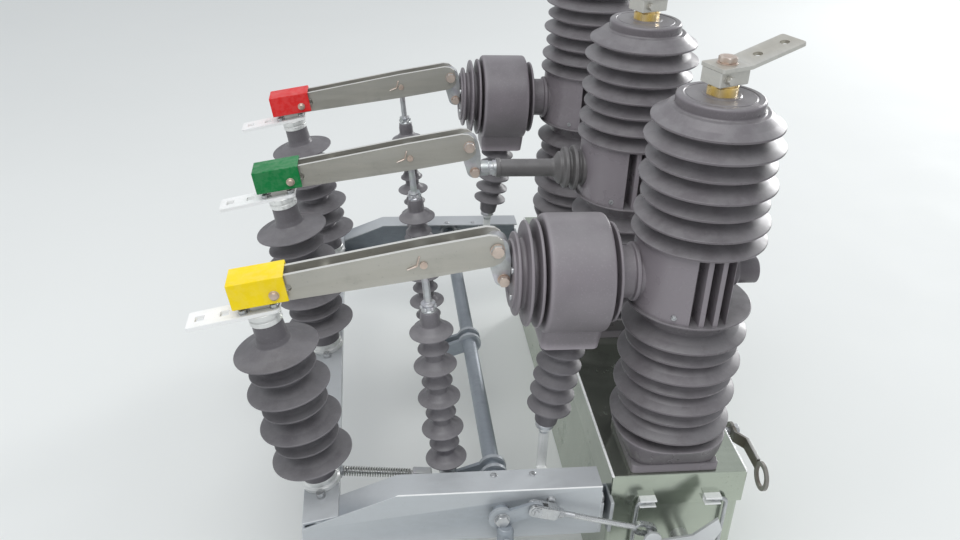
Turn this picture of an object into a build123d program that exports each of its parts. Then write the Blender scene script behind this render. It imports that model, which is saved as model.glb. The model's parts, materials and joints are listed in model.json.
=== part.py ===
from build123d import *
from math import atan2, cos, degrees, hypot, radians, sin, tan
import os

# Outdoor vacuum circuit breaker with a three-phase disconnector, in millimetres.
# Origin on the ground under the middle pole. X runs from the disconnector to the
# back of the box, Y along the row of poles, Z up.

# Phases
phase_pitch = 340.0
phases = {"a": -phase_pitch, "b": 0.0, "c": phase_pitch}
transformer_phases = ["a", "c"]

# Mechanism box
box_width = 194.0
box_length = 813.0
box_height = 230.0
box_shift = 8.0
box_corner = 8.0
lid_skirt = 34.0
lid_sheet = 2.5
lid_clearance = 0.4

# Pole columns
foot_side = 124.0
foot_corner = 8.0
foot_plate = 14.0
foot_height = 47.0
foot_flare = 27.0
foot_top_radius = 80.0
column_core = 61.0
shed_rise = 17.0
rim_thickness = 3.0
lower_shed_radius = 82.8
lower_small_radius = 75.0
lower_shed_first = 62.3
lower_shed_pitch = 24.1
lower_shed_count = 7
belt_gap = 13.5
belt_height = lower_shed_first + lower_shed_count * lower_shed_pitch + belt_gap
housing_height = 98.4
housing_side = 116.0
housing_depth = 110.0
housing_core = 50.0
housing_corner = 30.0
upper_shed_radius = 85.7
upper_small_radius = 80.4
upper_shed_first = belt_height + housing_height
upper_shed_pitch = 24.8
upper_shed_count = 7
cap_radius = 53.7
cap_gap = 7.2
cap_height = upper_shed_first + upper_shed_count * upper_shed_pitch + cap_gap
cap_thickness = 17.0
cap_round = 6.0
rib_slot_width = 11.0
rib_slot_pitch = 16.5
rib_slot_depth = 24.0
rib_slot_count = 3
rib_shift = 22.0
plug_diameter = 34.0
plug_reach = 90.0

# Top terminals
stud_across_flats = 34.0
stud_height = 15.0
stud_shank_diameter = 16.0
clamp_length = 46.0
clamp_width = 34.0
clamp_height = 18.0
terminal_width = 40.0
terminal_thickness = 5.0
terminal_length = 86.0
terminal_turn = 24.0
terminal_rise = 13.0
terminal_hole_diameter = 13.0
terminal_hole_spacing = 43.0
terminal_hole_edge = 14.0
nut_across_flats = 22.0
nut_height = 11.0

# Lower arm and current transformers
arm_rise = 42.0
arm_height = belt_height + arm_rise
arm_end = -240.0
drum_radius = 76.6
drum_inner_end = -118.6
drum_outer_end = -200.0
drum_round = 5.0
neck_radius = 34.0
collar_radius = 38.5
collar_thickness = 6.0
collar_gap = 9.0
collar_start = -60.0
inner_disc_radius = 65.0
disc_thickness = 4.5
outer_disc_radii = [70.0, 68.0, 54.0]
outer_disc_pitch = 13.5
outer_core_radius = 44.0
arm_rod_radius = 14.0
arm_flange_radii = [30.0, 36.0, 33.0]
arm_flange_pitch = 14.0
arm_flange_start = -72.0
arm_ferrule_radius = 11.0
arm_ferrule_length = 26.0
drum_foot_width = 70.0
drum_foot_drop = 97.0

# Support insulators under the transformers
support_top_x = -160.0
support_bottom_x = -176.0
support_bottom_height = 41.0
support_shed_radius = 31.0
support_core = 17.0
support_shed_count = 5
support_shed_pitch = 24.0
support_shed_first = 34.0
leg_width = 14.0
leg_thickness = 4.0
leg_drop = 32.0
leg_tab = 22.0
leg_seat = 10.0

# Disconnector hinge and blades
hinge_x = -259.0
hinge_rise = 41.5
hinge_height = arm_height + hinge_rise
hinge_lug_thickness = 21.0
hinge_lug_radius = 15.0
hinge_foot_radius = 13.0
hinge_foot_inset = 8.0
hinge_pin_diameter = 12.0
hinge_bolt_head = 9.0
side_clearance = 0.5
pin_clearance = 0.05
blade_slope = 10.5
blade_length = 322.0
blade_width = 36.0
blade_root_width = 44.0
blade_taper_reach = 262.0
blade_end_width = 24.0
blade_end_reach = 9.0
blade_thickness = 4.0
blade_gap = hinge_lug_thickness + 2 * side_clearance
drive_pin_reach = 93.0
drive_pin_drop = 2.0
drive_pin_diameter = 10.0
spacer_diameter = 16.0
spacer_reach = 215.0
cover_length = 71.0
cover_width = 44.0
cover_height = 36.0
cover_wall = 3.0
cover_overhang = 12.0

# Post insulators and load terminals
post_tilt = 12.5
post_foot_set_back = 93.6
post_foot_drop = 41.6
post_foot_x = hinge_x - blade_length + post_foot_set_back
post_foot_height = box_height - post_foot_drop
post_top_drop = 26.9
post_core = 23.0
post_neck = 18.0
post_shed_radius = 56.0
post_small_radius = 45.0
post_shed_first = 50.5
post_shed_pitch = 29.75
post_shed_count = 7
post_shed_rise = 13.0
post_base_radius = 25.0
post_base_height = 16.0
post_cap_radius = 20.0
post_cap_height = 22.0
pad_width = 38.0
pad_thickness = 5.0
pad_reach = 95.0
pad_tail = 24.0
pad_hole_side = 12.0
pad_hole_spacing = 32.0
pad_hole_edge = 16.0
contact_length = 26.0
contact_rise = 33.0

# Side beams and cross member
beam_stand_off = 15.3
beam_face = box_length / 2 + beam_stand_off
beam_sheet = 3.0
beam_flange = 41.8
beam_top_drop = 2.7
beam_top = box_height - beam_top_drop
beam_depth = 84.6
beam_box_gap = 16.8
beam_near_end = box_shift - box_width / 2 - beam_box_gap
beam_bend_reach = 103.8
beam_bend_x = post_foot_x + beam_bend_reach
beam_end_reach = 24.6
beam_far_end = post_foot_x - beam_end_reach
beam_far_drop = 52.9
beam_far_height = beam_top - beam_far_drop
cross_width = 50.0
cross_sheet = 4.0
bracket_sheet = 5.0

# Disconnector shaft and cranks
shaft_x = -245.0
shaft_drop = 35.3
shaft_height = beam_top - shaft_drop
shaft_diameter = 24.0
bearing_diameter = 38.0
bearing_thickness = 10.0
bearing_clearance = 0.08
crank_radius = 66.0
crank_angle = 200.0
crank_sheet = 6.0
crank_end_radius = 13.0
crank_hub_radius = 20.0
crank_pin_diameter = 10.0
eye_thickness = 12.0

# Drive insulators
drive_core = 13.0
drive_shed_radius = 29.0
drive_small_radius = 21.0
drive_shed_pitch = 26.5
drive_shed_count = 9
drive_shed_first = 52.0
drive_shed_rise = 9.0
drive_body_start = 24.0
drive_body_end = 300.0
drive_cap_radius = 12.0
drive_cap_length = 14.0
drive_rod_diameter = 10.0
drive_eye_radius = 13.5
drive_eye_slack = 3.4

# Operating lever and link rod
lever_pivot_x = 22.0
lever_pivot_drop = 118.0
lever_pivot_height = box_height - lever_pivot_drop
lever_pin_radius = 73.7
lever_pin_angle = 142.0
lever_arm_radius = 48.0
lever_arm_angle = 18.0
lever_arm_end_radius = 11.0
lever_arm_sheet = 5.0
lever_length = 520.0
lever_width = 38.0
lever_tip_width = 26.0
lever_sheet = 5.0
lever_droop = 9.0
lever_lobe_x = 60.0
lever_lobe_rise = 78.0
lever_lobe_height = lever_pivot_height + lever_lobe_rise
lever_hook = 30.0
lever_pin_diameter = 8.0
lever_plate_reach = 107.0
slot_travel = 14.4
slot_play = 1.4
lever_stud_diameter = 16.0
rod_stand_off = 29.5
rod_plane = box_length / 2 + rod_stand_off
lever_spacing = 18.0
lever_plane = rod_plane + lever_spacing
link_rod_diameter = 8.0
clevis_length = 44.0
clevis_width = 18.0
clevis_gap = lever_arm_sheet + 1.0
clevis_wall = 5.0

# Spring buffer
buffer_coil_diameter = 15.0
buffer_length = 104.0
buffer_seat_radius = 10.0
buffer_seat_thickness = 5.0
buffer_block = 15.0
buffer_block_length = 26.0
buffer_offset = 30.0
buffer_drop = 10.4
buffer_height = post_foot_height - buffer_drop
buffer_dip = 6.0

# Ring lever on the back of the box
ring_pivot_y = -300.0
ring_pivot_drop = 15.0
ring_pivot_height = box_height - ring_pivot_drop
ring_reach = 98.0
ring_drop = 3.5
ring_lever_sheet = 5.0
ring_strap_height = 19.0
ring_strap_rise = 3.0
ring_joggle = 11.5
ring_joggle_start = 18.0
ring_joggle_end = 34.0
ring_radius = 21.0
ring_bar = 6.5
ring_stud_diameter = 12.0
ring_hub_radius = 14.0
ring_stand_off = 12.0

# Bail handle on the near end of the box
bail_diameter = 6.0
bail_left = -50.0
bail_right = 79.0
bail_top_drop = 43.0
bail_height = box_height - bail_top_drop
bail_drop = 107.0
bail_stand_off = 9.0
bail_bend = 8.0
bail_bracket_width = 24.0
bail_bracket_inset = 21.0
bail_bracket_sheet = 3.0

os.makedirs("parts", exist_ok=True)


def save(part, label):
    part.label = label
    export_step(part, "parts/" + label + ".step")


def save_on_phases(part, label, names):
    # A piece made on the middle phase is repeated on each phase that has it.
    for phase in names:
        save(part.moved(Location((0, phases[phase], 0))), label + "_" + phase)


def frame_plane(x, y, z, tilt):
    # A plane whose local Z leans from up towards -X by the tilt angle.
    lean = radians(tilt)
    return Plane(origin=(x, y, z), x_dir=(cos(lean), 0, sin(lean)), z_dir=(-sin(lean), 0, cos(lean)))


def side_plane(x, y, z, turn=0.0):
    # A plane facing -Y: local X runs along the XZ angle, local Y is a quarter turn further up.
    angle = radians(turn)
    return Plane(origin=(x, y, z), x_dir=(cos(angle), 0, sin(angle)), z_dir=(0, -1, 0))


def shed_points(core, first, pitch, radii, rise, rim):
    # Each shed has a sloping top, a short rim and an undercut that returns to the core.
    points = []
    for index, radius in enumerate(radii):
        height = first + index * pitch
        points.append((core, height + rim))
        points.append((radius, height))
        points.append((radius, height + rim))
        points.append((core, height + rise))
    return points


# Driven places
pole_base = box_height
arm_axis_height = pole_base + arm_height
pivot_height = pole_base + hinge_height
blade_line = radians(blade_slope)
drive_pin_x = hinge_x - drive_pin_reach * cos(blade_line) + drive_pin_drop * sin(blade_line)
drive_pin_z = pivot_height - drive_pin_reach * sin(blade_line) - drive_pin_drop * cos(blade_line)
crank_pin_x = shaft_x + crank_radius * cos(radians(crank_angle))
crank_pin_z = shaft_height + crank_radius * sin(radians(crank_angle))
drive_length = hypot(drive_pin_x - crank_pin_x, drive_pin_z - crank_pin_z)
drive_lean = degrees(atan2(crank_pin_x - drive_pin_x, drive_pin_z - crank_pin_z))
post_lean = radians(post_tilt)
post_rise = pivot_height - blade_length * sin(blade_line) - post_top_drop - post_foot_height
post_length = post_rise / cos(post_lean)
post_top_x = post_foot_x - post_length * sin(post_lean)
post_top_z = post_foot_height + post_length * cos(post_lean)
link_pin_x = shaft_x + lever_arm_radius * cos(radians(lever_arm_angle))
link_pin_z = shaft_height + lever_arm_radius * sin(radians(lever_arm_angle))
lever_pin_x = lever_pivot_x + lever_pin_radius * cos(radians(lever_pin_angle))
lever_pin_z = lever_pivot_height + lever_pin_radius * sin(radians(lever_pin_angle))
link_length = hypot(lever_pin_x - link_pin_x, lever_pin_z - link_pin_z)
link_slope = degrees(atan2(lever_pin_z - link_pin_z, lever_pin_x - link_pin_x))


# Mechanism box: a closed housing under its own lid
with BuildPart() as mechanism_box:
    with BuildSketch(Plane.XY):
        with Locations((box_shift, 0)):
            RectangleRounded(box_width - 2 * lid_sheet - 2 * lid_clearance,
                             box_length - 2 * lid_sheet - 2 * lid_clearance, box_corner)
    extrude(amount=box_height - lid_sheet)
save(mechanism_box.part, "mechanism_box")

with BuildPart() as box_lid:
    with BuildSketch(Plane.XY.offset(box_height - lid_skirt)):
        with Locations((box_shift, 0)):
            RectangleRounded(box_width, box_length, box_corner + lid_sheet)
    extrude(amount=lid_skirt)
    with BuildSketch(Plane.XY.offset(box_height - lid_skirt)):
        with Locations((box_shift, 0)):
            RectangleRounded(box_width - 2 * lid_sheet, box_length - 2 * lid_sheet, box_corner)
    extrude(amount=lid_skirt - lid_sheet, mode=Mode.SUBTRACT)
save(box_lid.part, "box_lid")


# Pole column: a square foot, sheds below and above a finned housing, and a round cap
lower_radii = [lower_shed_radius if i % 2 == 0 else lower_small_radius for i in range(lower_shed_count)]
upper_radii = [upper_small_radius if i % 2 == 0 and i > 0 else upper_shed_radius
               for i in range(upper_shed_count)]
with BuildPart() as column:
    with BuildSketch(Plane.XY.offset(pole_base)):
        RectangleRounded(foot_side, foot_side, foot_corner)
    extrude(amount=foot_plate)
    with BuildSketch(Plane.XY.offset(pole_base + foot_plate)):
        RectangleRounded(foot_side, foot_side, foot_corner)
    extrude(amount=foot_height - foot_plate, taper=-foot_flare)
    with BuildSketch(Plane.XY.offset(pole_base)):
        Circle(foot_top_radius)
    extrude(amount=foot_height, mode=Mode.INTERSECT)
    with BuildSketch(Plane(origin=(0, 0, pole_base), x_dir=(1, 0, 0), z_dir=(0, -1, 0))):
        with BuildLine():
            outline = [(0, foot_plate), (foot_side / 2 - foot_corner, foot_plate),
                       (foot_side / 2 - foot_corner, foot_height - 2), (column_core, foot_height - 2)]
            outline += shed_points(column_core, lower_shed_first, lower_shed_pitch,
                                   lower_radii, shed_rise, rim_thickness)
            outline += [(column_core, belt_height + rim_thickness),
                        (lower_shed_radius, belt_height),
                        (lower_shed_radius, belt_height + rim_thickness),
                        (housing_core, belt_height + rim_thickness + 0.5),
                        (housing_core, upper_shed_first + rim_thickness)]
            outline += shed_points(column_core, upper_shed_first, upper_shed_pitch,
                                   upper_radii, shed_rise, rim_thickness)[1:]
            outline += [(cap_radius, cap_height - cap_thickness + 3),
                        (cap_radius, cap_height - cap_round),
                        (cap_radius - cap_round, cap_height),
                        (0, cap_height)]
            Polyline(*outline, close=True)
        make_face()
    revolve(axis=Axis.Z)
    with BuildSketch(Plane.XY.offset(pole_base + belt_height + 1)):
        RectangleRounded(housing_side, housing_depth, housing_corner)
    extrude(amount=upper_shed_first - belt_height + rim_thickness)
    with BuildSketch(Plane.XY.offset(pole_base + belt_height + 2 * rim_thickness)):
        for side in (-1, 1):
            for slot in range(rib_slot_count):
                slot_x = rib_shift + (slot - (rib_slot_count - 1) / 2) * rib_slot_pitch
                with Locations((slot_x, side * housing_depth / 2)):
                    Rectangle(rib_slot_width, 2 * rib_slot_depth)
    extrude(amount=upper_shed_first - belt_height - 3 * rim_thickness, mode=Mode.SUBTRACT)
    with BuildSketch(Plane.YZ):
        with Locations((0, arm_axis_height)):
            Circle(plug_diameter / 2)
    extrude(amount=plug_reach)
save_on_phases(column.part, "pole_column", phases)


# Brass stud on each pole and the flat terminal clamped to it
clamp_base = pole_base + cap_height + stud_height
with BuildPart() as stud:
    with BuildSketch(Plane.XY.offset(pole_base + cap_height)):
        RegularPolygon(stud_across_flats / 2, 6, major_radius=False)
    extrude(amount=stud_height)
    with BuildSketch(Plane.XY.offset(clamp_base)):
        Circle(stud_shank_diameter / 2)
    extrude(amount=clamp_height + terminal_thickness + nut_height + 3)
save_on_phases(stud.part, "terminal_stud", phases)

turn = radians(terminal_turn)
rise = radians(terminal_rise)
bend = clamp_length / 2
clamp_plane = Plane(origin=(0, 0, clamp_base), x_dir=(cos(turn), sin(turn), 0), z_dir=(0, 0, 1))
bar_plane = clamp_plane.offset(clamp_height)
rise_plane = Plane(origin=bar_plane.from_local_coords(Vector(bend, 0, 0)),
                   x_dir=bar_plane.x_dir * cos(rise) + bar_plane.z_dir * sin(rise),
                   z_dir=bar_plane.z_dir * cos(rise) - bar_plane.x_dir * sin(rise))
hole_x = terminal_length - terminal_hole_edge - terminal_hole_spacing / 2
with BuildPart() as terminal:
    with BuildSketch(clamp_plane):
        Rectangle(clamp_length, clamp_width)
        Circle(stud_shank_diameter / 2 + pin_clearance, mode=Mode.SUBTRACT)
    extrude(amount=clamp_height)
    with BuildSketch(Plane(origin=bar_plane.origin, x_dir=bar_plane.x_dir, z_dir=-bar_plane.y_dir)):
        with BuildLine():
            Polyline((-bend, 0), (bend, 0),
                     (bend + terminal_length * cos(rise), terminal_length * sin(rise)),
                     (bend + terminal_length * cos(rise) - terminal_thickness * sin(rise),
                      terminal_length * sin(rise) + terminal_thickness * cos(rise)),
                     (bend, terminal_thickness), (-bend, terminal_thickness), close=True)
        make_face()
    extrude(amount=terminal_width / 2, both=True)
    with BuildSketch(bar_plane):
        Circle(stud_shank_diameter / 2 + pin_clearance)
    extrude(amount=terminal_thickness, mode=Mode.SUBTRACT)
    with BuildSketch(rise_plane.offset(-1)):
        with Locations((hole_x, 0)):
            with GridLocations(terminal_hole_spacing, 0, 2, 1):
                Circle(terminal_hole_diameter / 2)
    extrude(amount=terminal_thickness + 2, mode=Mode.SUBTRACT)
    with BuildSketch(bar_plane.offset(terminal_thickness)):
        RegularPolygon(nut_across_flats / 2, 6, major_radius=False)
        Circle(stud_shank_diameter / 2 + pin_clearance, mode=Mode.SUBTRACT)
    extrude(amount=nut_height)
save_on_phases(terminal.part, "top_terminal", phases)


# Current transformer: a ring core cast round the lower arm, with discs at its outer end
arm_plane = Plane(origin=(0, 0, arm_axis_height), x_dir=(1, 0, 0), z_dir=(0, -1, 0))
arm_axis = Axis((0, 0, arm_axis_height), (1, 0, 0))
housing_edge = -housing_side / 2 - pin_clearance
with BuildPart() as transformer:
    with BuildSketch(arm_plane):
        with BuildLine():
            outline = [(housing_edge, 0), (housing_edge, neck_radius)]
            for index in range(2):
                right = collar_start - 2 - index * (collar_thickness + collar_gap)
                outline += [(right, neck_radius), (right, collar_radius),
                            (right - collar_thickness, collar_radius),
                            (right - collar_thickness, neck_radius)]
            disc_right = drum_inner_end + 2 * disc_thickness + 3
            outline += [(disc_right, neck_radius), (disc_right, inner_disc_radius),
                        (disc_right - disc_thickness, inner_disc_radius),
                        (disc_right - disc_thickness, outer_core_radius),
                        (drum_inner_end, outer_core_radius),
                        (drum_inner_end, drum_radius - drum_round),
                        (drum_inner_end - drum_round, drum_radius),
                        (drum_outer_end + drum_round, drum_radius),
                        (drum_outer_end, drum_radius - drum_round),
                        (drum_outer_end, outer_core_radius)]
            for index, radius in enumerate(outer_disc_radii):
                right = drum_outer_end - disc_thickness - index * outer_disc_pitch
                outline += [(right, outer_core_radius), (right, radius),
                            (right - disc_thickness, radius),
                            (right - disc_thickness, outer_core_radius)]
            outline += [(arm_end, outer_core_radius), (arm_end, 0)]
            Polyline(*outline, close=True)
        make_face()
    revolve(axis=arm_axis)
    with BuildSketch(Plane.XY.offset(arm_axis_height - drum_foot_drop)):
        with Locations(((drum_inner_end + drum_outer_end) / 2, 0)):
            Rectangle(drum_inner_end - drum_outer_end - 1, drum_foot_width)
    extrude(amount=drum_foot_drop - drum_radius / 2)
save_on_phases(transformer.part, "current_transformer", transformer_phases)

# Plain conductor arm of the middle phase
arm_core_radius = neck_radius - 8
with BuildPart() as conductor_arm:
    with BuildSketch(arm_plane):
        with BuildLine():
            outline = [(housing_edge, 0), (housing_edge, arm_core_radius)]
            for index, radius in enumerate(arm_flange_radii):
                right = arm_flange_start - index * arm_flange_pitch
                outline += [(right, arm_core_radius), (right, radius),
                            (right - 2 * disc_thickness, radius - 2),
                            (right - 2 * disc_thickness, arm_core_radius)]
            last = arm_flange_start - len(arm_flange_radii) * arm_flange_pitch
            outline += [(last, arm_core_radius), (last - 8, arm_rod_radius),
                        (arm_end + arm_ferrule_length, arm_rod_radius),
                        (arm_end + arm_ferrule_length, arm_ferrule_radius),
                        (arm_end, arm_ferrule_radius), (arm_end, 0)]
            Polyline(*outline, close=True)
        make_face()
    revolve(axis=arm_axis)
save_on_phases(conductor_arm.part, "conductor_arm", ["b"])


# Hinge contact: a lug that stands up from the arm's end, with the blade's pivot bolt
bolt_span = blade_gap + 2 * blade_thickness + 2 * side_clearance
with BuildPart() as hinge:
    with BuildSketch(side_plane(0, hinge_lug_thickness / 2, 0)):
        with Locations((hinge_x, pivot_height)):
            Circle(hinge_lug_radius)
        with Locations((arm_end - hinge_foot_inset, arm_axis_height)):
            Circle(hinge_foot_radius)
        make_hull()
        with Locations((arm_end, 0)):
            Rectangle(hinge_lug_radius * 2, 3 * arm_axis_height, align=(Align.MIN, Align.CENTER),
                      mode=Mode.SUBTRACT)
    extrude(amount=hinge_lug_thickness)
    with BuildSketch(side_plane(hinge_x, 0, pivot_height)):
        Circle(hinge_pin_diameter / 2)
    extrude(amount=bolt_span / 2, both=True)
    for side in (-1, 1):
        with BuildSketch(side_plane(hinge_x, side * bolt_span / 2, pivot_height)):
            RegularPolygon(hinge_bolt_head, 6)
        extrude(amount=-side * 6)
save_on_phases(hinge.part, "hinge_contact", phases)


# Switch blade: two plates that straddle the hinge lug and the fixed contact
blade_half = blade_width / 2
root_half = blade_root_width / 2
upper_edge = [(-blade_end_reach, blade_end_width / 2), (-2, root_half - 3), (8, root_half),
              (drive_pin_reach, root_half), (blade_taper_reach, blade_half), (blade_length, blade_half)]
lower_edge = [(reach, -half) for reach, half in reversed(upper_edge)]
with BuildPart() as blade:
    for side in (-1, 1):
        with BuildSketch(side_plane(hinge_x, side * blade_gap / 2, pivot_height, 180 + blade_slope)):
            with BuildLine():
                Polyline(*upper_edge, *lower_edge, close=True)
            make_face()
            Circle(hinge_pin_diameter / 2 + pin_clearance, mode=Mode.SUBTRACT)
        extrude(amount=-side * blade_thickness)
    with BuildSketch(side_plane(hinge_x, 0, pivot_height, 180 + blade_slope)):
        with Locations((spacer_reach, 0)):
            Circle(spacer_diameter / 2)
    extrude(amount=blade_gap / 2, both=True)
    with BuildSketch(side_plane(hinge_x, 0, pivot_height, 180 + blade_slope)):
        with Locations((drive_pin_reach, drive_pin_drop)):
            Circle(drive_pin_diameter / 2)
    extrude(amount=blade_gap / 2 + blade_thickness + 3, both=True)
save_on_phases(blade.part, "switch_blade", phases)

cover_near = blade_length + cover_overhang - cover_length
cover_middle = -blade_half + cover_height / 2
cover_inside = cover_width - 2 * cover_wall
with BuildPart() as cover:
    with BuildSketch(side_plane(hinge_x, cover_width / 2, pivot_height, 180 + blade_slope)):
        with Locations((cover_near + cover_length / 2, cover_middle - cover_wall)):
            Rectangle(cover_length, cover_height)
    extrude(amount=cover_width)
    with BuildSketch(side_plane(hinge_x, cover_inside / 2, pivot_height, 180 + blade_slope)):
        with Locations((cover_near + (cover_length - cover_wall) / 2, cover_middle)):
            Rectangle(cover_length - cover_wall, cover_height)
    extrude(amount=cover_inside, mode=Mode.SUBTRACT)
save_on_phases(cover.part, "contact_cover", phases)


# Drive insulators between the shaft's cranks and the blades
drive_base = frame_plane(crank_pin_x, 0, crank_pin_z, drive_lean)
drive_face = Plane(origin=drive_base.origin, x_dir=drive_base.x_dir, z_dir=(0, -1, 0))
drive_radii = [drive_shed_radius if i % 2 == 0 else drive_small_radius for i in range(drive_shed_count)]
with BuildPart() as drive:
    with BuildSketch(drive_face):
        with BuildLine():
            outline = [(0, drive_body_start), (drive_cap_radius, drive_body_start),
                       (drive_cap_radius, drive_body_start + drive_cap_length),
                       (drive_core, drive_body_start + drive_cap_length)]
            outline += shed_points(drive_core, drive_shed_first, drive_shed_pitch, drive_radii,
                                   drive_shed_rise, 1.5)
            outline += [(drive_core, drive_body_end - drive_cap_length),
                        (drive_cap_radius, drive_body_end - drive_cap_length),
                        (drive_cap_radius, drive_body_end),
                        (drive_rod_diameter / 2, drive_body_end),
                        (drive_rod_diameter / 2, drive_length - drive_eye_radius + 2),
                        (0, drive_length - drive_eye_radius + 2)]
            Polyline(*outline, close=True)
        make_face()
    revolve(axis=Axis(drive_base.origin, drive_base.z_dir))
    with BuildSketch(drive_face.offset(-eye_thickness / 2)):
        Circle(crank_end_radius - 2)
        with Locations((0, drive_body_start / 2)):
            Rectangle(2 * drive_cap_radius - 6, drive_body_start)
        with Locations((0, drive_length)):
            Circle(drive_eye_radius)
        Circle(crank_pin_diameter / 2 + pin_clearance, mode=Mode.SUBTRACT)
        with Locations((0, drive_length)):
            Circle(drive_pin_diameter / 2 + drive_eye_slack, mode=Mode.SUBTRACT)
    extrude(amount=eye_thickness)
save_on_phases(drive.part, "drive_insulator", phases)


# Post insulators that stand on the cross member, and the load terminals on top of them
post_base = frame_plane(post_foot_x, 0, post_foot_height, post_tilt)
post_radii = [post_shed_radius if i % 2 == 0 else post_small_radius for i in range(post_shed_count)]
with BuildPart() as post:
    with BuildSketch(Plane(origin=post_base.origin, x_dir=post_base.x_dir, z_dir=(0, -1, 0))):
        with BuildLine():
            outline = [(0, 0), (post_base_radius, 0), (post_base_radius, post_base_height),
                       (post_core, post_base_height)]
            outline += shed_points(post_core, post_shed_first, post_shed_pitch, post_radii,
                                   post_shed_rise, 2.0)
            outline += [(post_neck, post_length - post_cap_height),
                        (post_cap_radius, post_length - post_cap_height),
                        (post_cap_radius, post_length), (0, post_length)]
            Polyline(*outline, close=True)
        make_face()
    revolve(axis=Axis(post_base.origin, post_base.z_dir))
save_on_phases(post.part, "post_insulator", phases)

post_top = frame_plane(post_top_x, 0, post_top_z, post_tilt)
with BuildPart() as load_terminal:
    with BuildSketch(post_top):
        with Locations(((pad_tail - pad_reach) / 2, 0)):
            Rectangle(pad_reach + pad_tail, pad_width)
        with Locations((-pad_reach + pad_hole_edge + pad_hole_spacing / 2, 0)):
            with GridLocations(pad_hole_spacing, 0, 2, 1):
                Rectangle(pad_hole_side, pad_hole_side, mode=Mode.SUBTRACT)
    extrude(amount=pad_thickness)
    with BuildSketch(post_top.offset(pad_thickness)):
        Rectangle(contact_length, hinge_lug_thickness)
    extrude(amount=contact_rise - pad_thickness)
save_on_phases(load_terminal.part, "load_terminal", phases)


# Support insulators under the transformers, cut level where they meet the drum and the leg
support_top = arm_axis_height - drum_foot_drop
support_bottom = pole_base + support_bottom_height
support_lean = degrees(atan2(support_bottom_x - support_top_x, support_top - support_bottom))
support_length = hypot(support_bottom_x - support_top_x, support_top - support_bottom)
support_base = frame_plane(support_bottom_x, 0, support_bottom, support_lean)
with BuildPart() as support:
    with BuildSketch(Plane(origin=support_base.origin, x_dir=support_base.x_dir, z_dir=(0, -1, 0))):
        with BuildLine():
            outline = [(0, -support_core / 2), (support_core, -support_core / 2)]
            outline += shed_points(support_core, support_shed_first, support_shed_pitch,
                                   [support_shed_radius] * support_shed_count, 12.0, 2.5)
            outline += [(support_core, support_length + support_core / 2),
                        (0, support_length + support_core / 2)]
            Polyline(*outline, close=True)
        make_face()
    revolve(axis=Axis(support_base.origin, support_base.z_dir))
    split(bisect_by=Plane.XY.offset(support_top), keep=Keep.BOTTOM)
    split(bisect_by=Plane.XY.offset(support_bottom), keep=Keep.TOP)
save_on_phases(support.part, "support_insulator", transformer_phases)

# Strip leg from each support insulator down to the web of the side beam
leg_bottom = beam_top - leg_drop
leg_half = leg_thickness / 2
for name, outward in {"a": -1, "c": 1}.items():
    seat = phases[name]
    web_inside = outward * (beam_face - beam_sheet)
    with BuildPart() as leg:
        with BuildSketch(Plane.YZ.offset(support_bottom_x - leg_width / 2)):
            with BuildLine():
                Polyline((seat - outward * leg_seat, support_bottom),
                         (seat - outward * leg_seat, support_bottom - leg_thickness),
                         (seat - outward * leg_half, support_bottom - leg_thickness),
                         (seat - outward * leg_half, leg_bottom),
                         (web_inside, leg_bottom), (web_inside, leg_bottom + leg_tab),
                         (web_inside - outward * leg_thickness, leg_bottom + leg_tab),
                         (web_inside - outward * leg_thickness, leg_bottom + leg_thickness),
                         (seat + outward * leg_half, leg_bottom + leg_thickness),
                         (seat + outward * leg_half, support_bottom - leg_thickness),
                         (seat + outward * leg_seat, support_bottom - leg_thickness),
                         (seat + outward * leg_seat, support_bottom), close=True)
            make_face()
        extrude(amount=leg_width)
    save(leg.part, "support_leg_" + name)


# Side beams: folded channels with their flanges inwards, cut down to the cross member
bottom_z = beam_top - beam_depth
cross_right = post_foot_x + cross_width / 2 * cos(post_lean)
cross_left = post_foot_x - cross_width / 2 * cos(post_lean)
for name, outward in {"near": -1, "far": 1}.items():
    with BuildPart() as beam:
        with BuildSketch(Plane(origin=(0, outward * beam_face, 0), x_dir=(1, 0, 0), z_dir=(0, -1, 0))) as web:
            with BuildLine():
                Polyline((beam_near_end, bottom_z), (beam_near_end, beam_top), (beam_bend_x, beam_top),
                         (beam_far_end, beam_far_height), (beam_far_end, bottom_z), close=True)
            make_face()
        extrude(amount=outward * beam_flange)
        with BuildSketch(Plane(origin=(0, outward * (beam_face - beam_sheet), 0), x_dir=(1, 0, 0),
                               z_dir=(0, -1, 0))):
            with BuildLine():
                Polyline((beam_near_end, bottom_z + beam_sheet), (beam_near_end, beam_top - beam_sheet),
                         (beam_bend_x, beam_top - beam_sheet),
                         (beam_far_end, beam_far_height - beam_sheet),
                         (beam_far_end, bottom_z + beam_sheet), close=True)
            make_face()
        extrude(amount=outward * beam_flange, mode=Mode.SUBTRACT)
        with BuildSketch(Plane(origin=(0, outward * (beam_face - beam_sheet), 0), x_dir=(1, 0, 0),
                               z_dir=(0, -1, 0))):
            with Locations(((cross_right + beam_far_end) / 2 - 20, beam_top - beam_depth / 2 + 10)):
                Rectangle(cross_right - beam_far_end + 41, beam_depth - 2 * beam_sheet - 10)
        extrude(amount=outward * beam_flange, mode=Mode.SUBTRACT)
        with BuildSketch(Plane.XZ.offset(-outward * (beam_face - beam_sheet))):
            with Locations((shaft_x, shaft_height)):
                Circle(bearing_diameter / 2 - 6)
        extrude(amount=-outward * beam_sheet, mode=Mode.SUBTRACT)
    save(beam.part, "side_beam_" + name)

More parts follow.
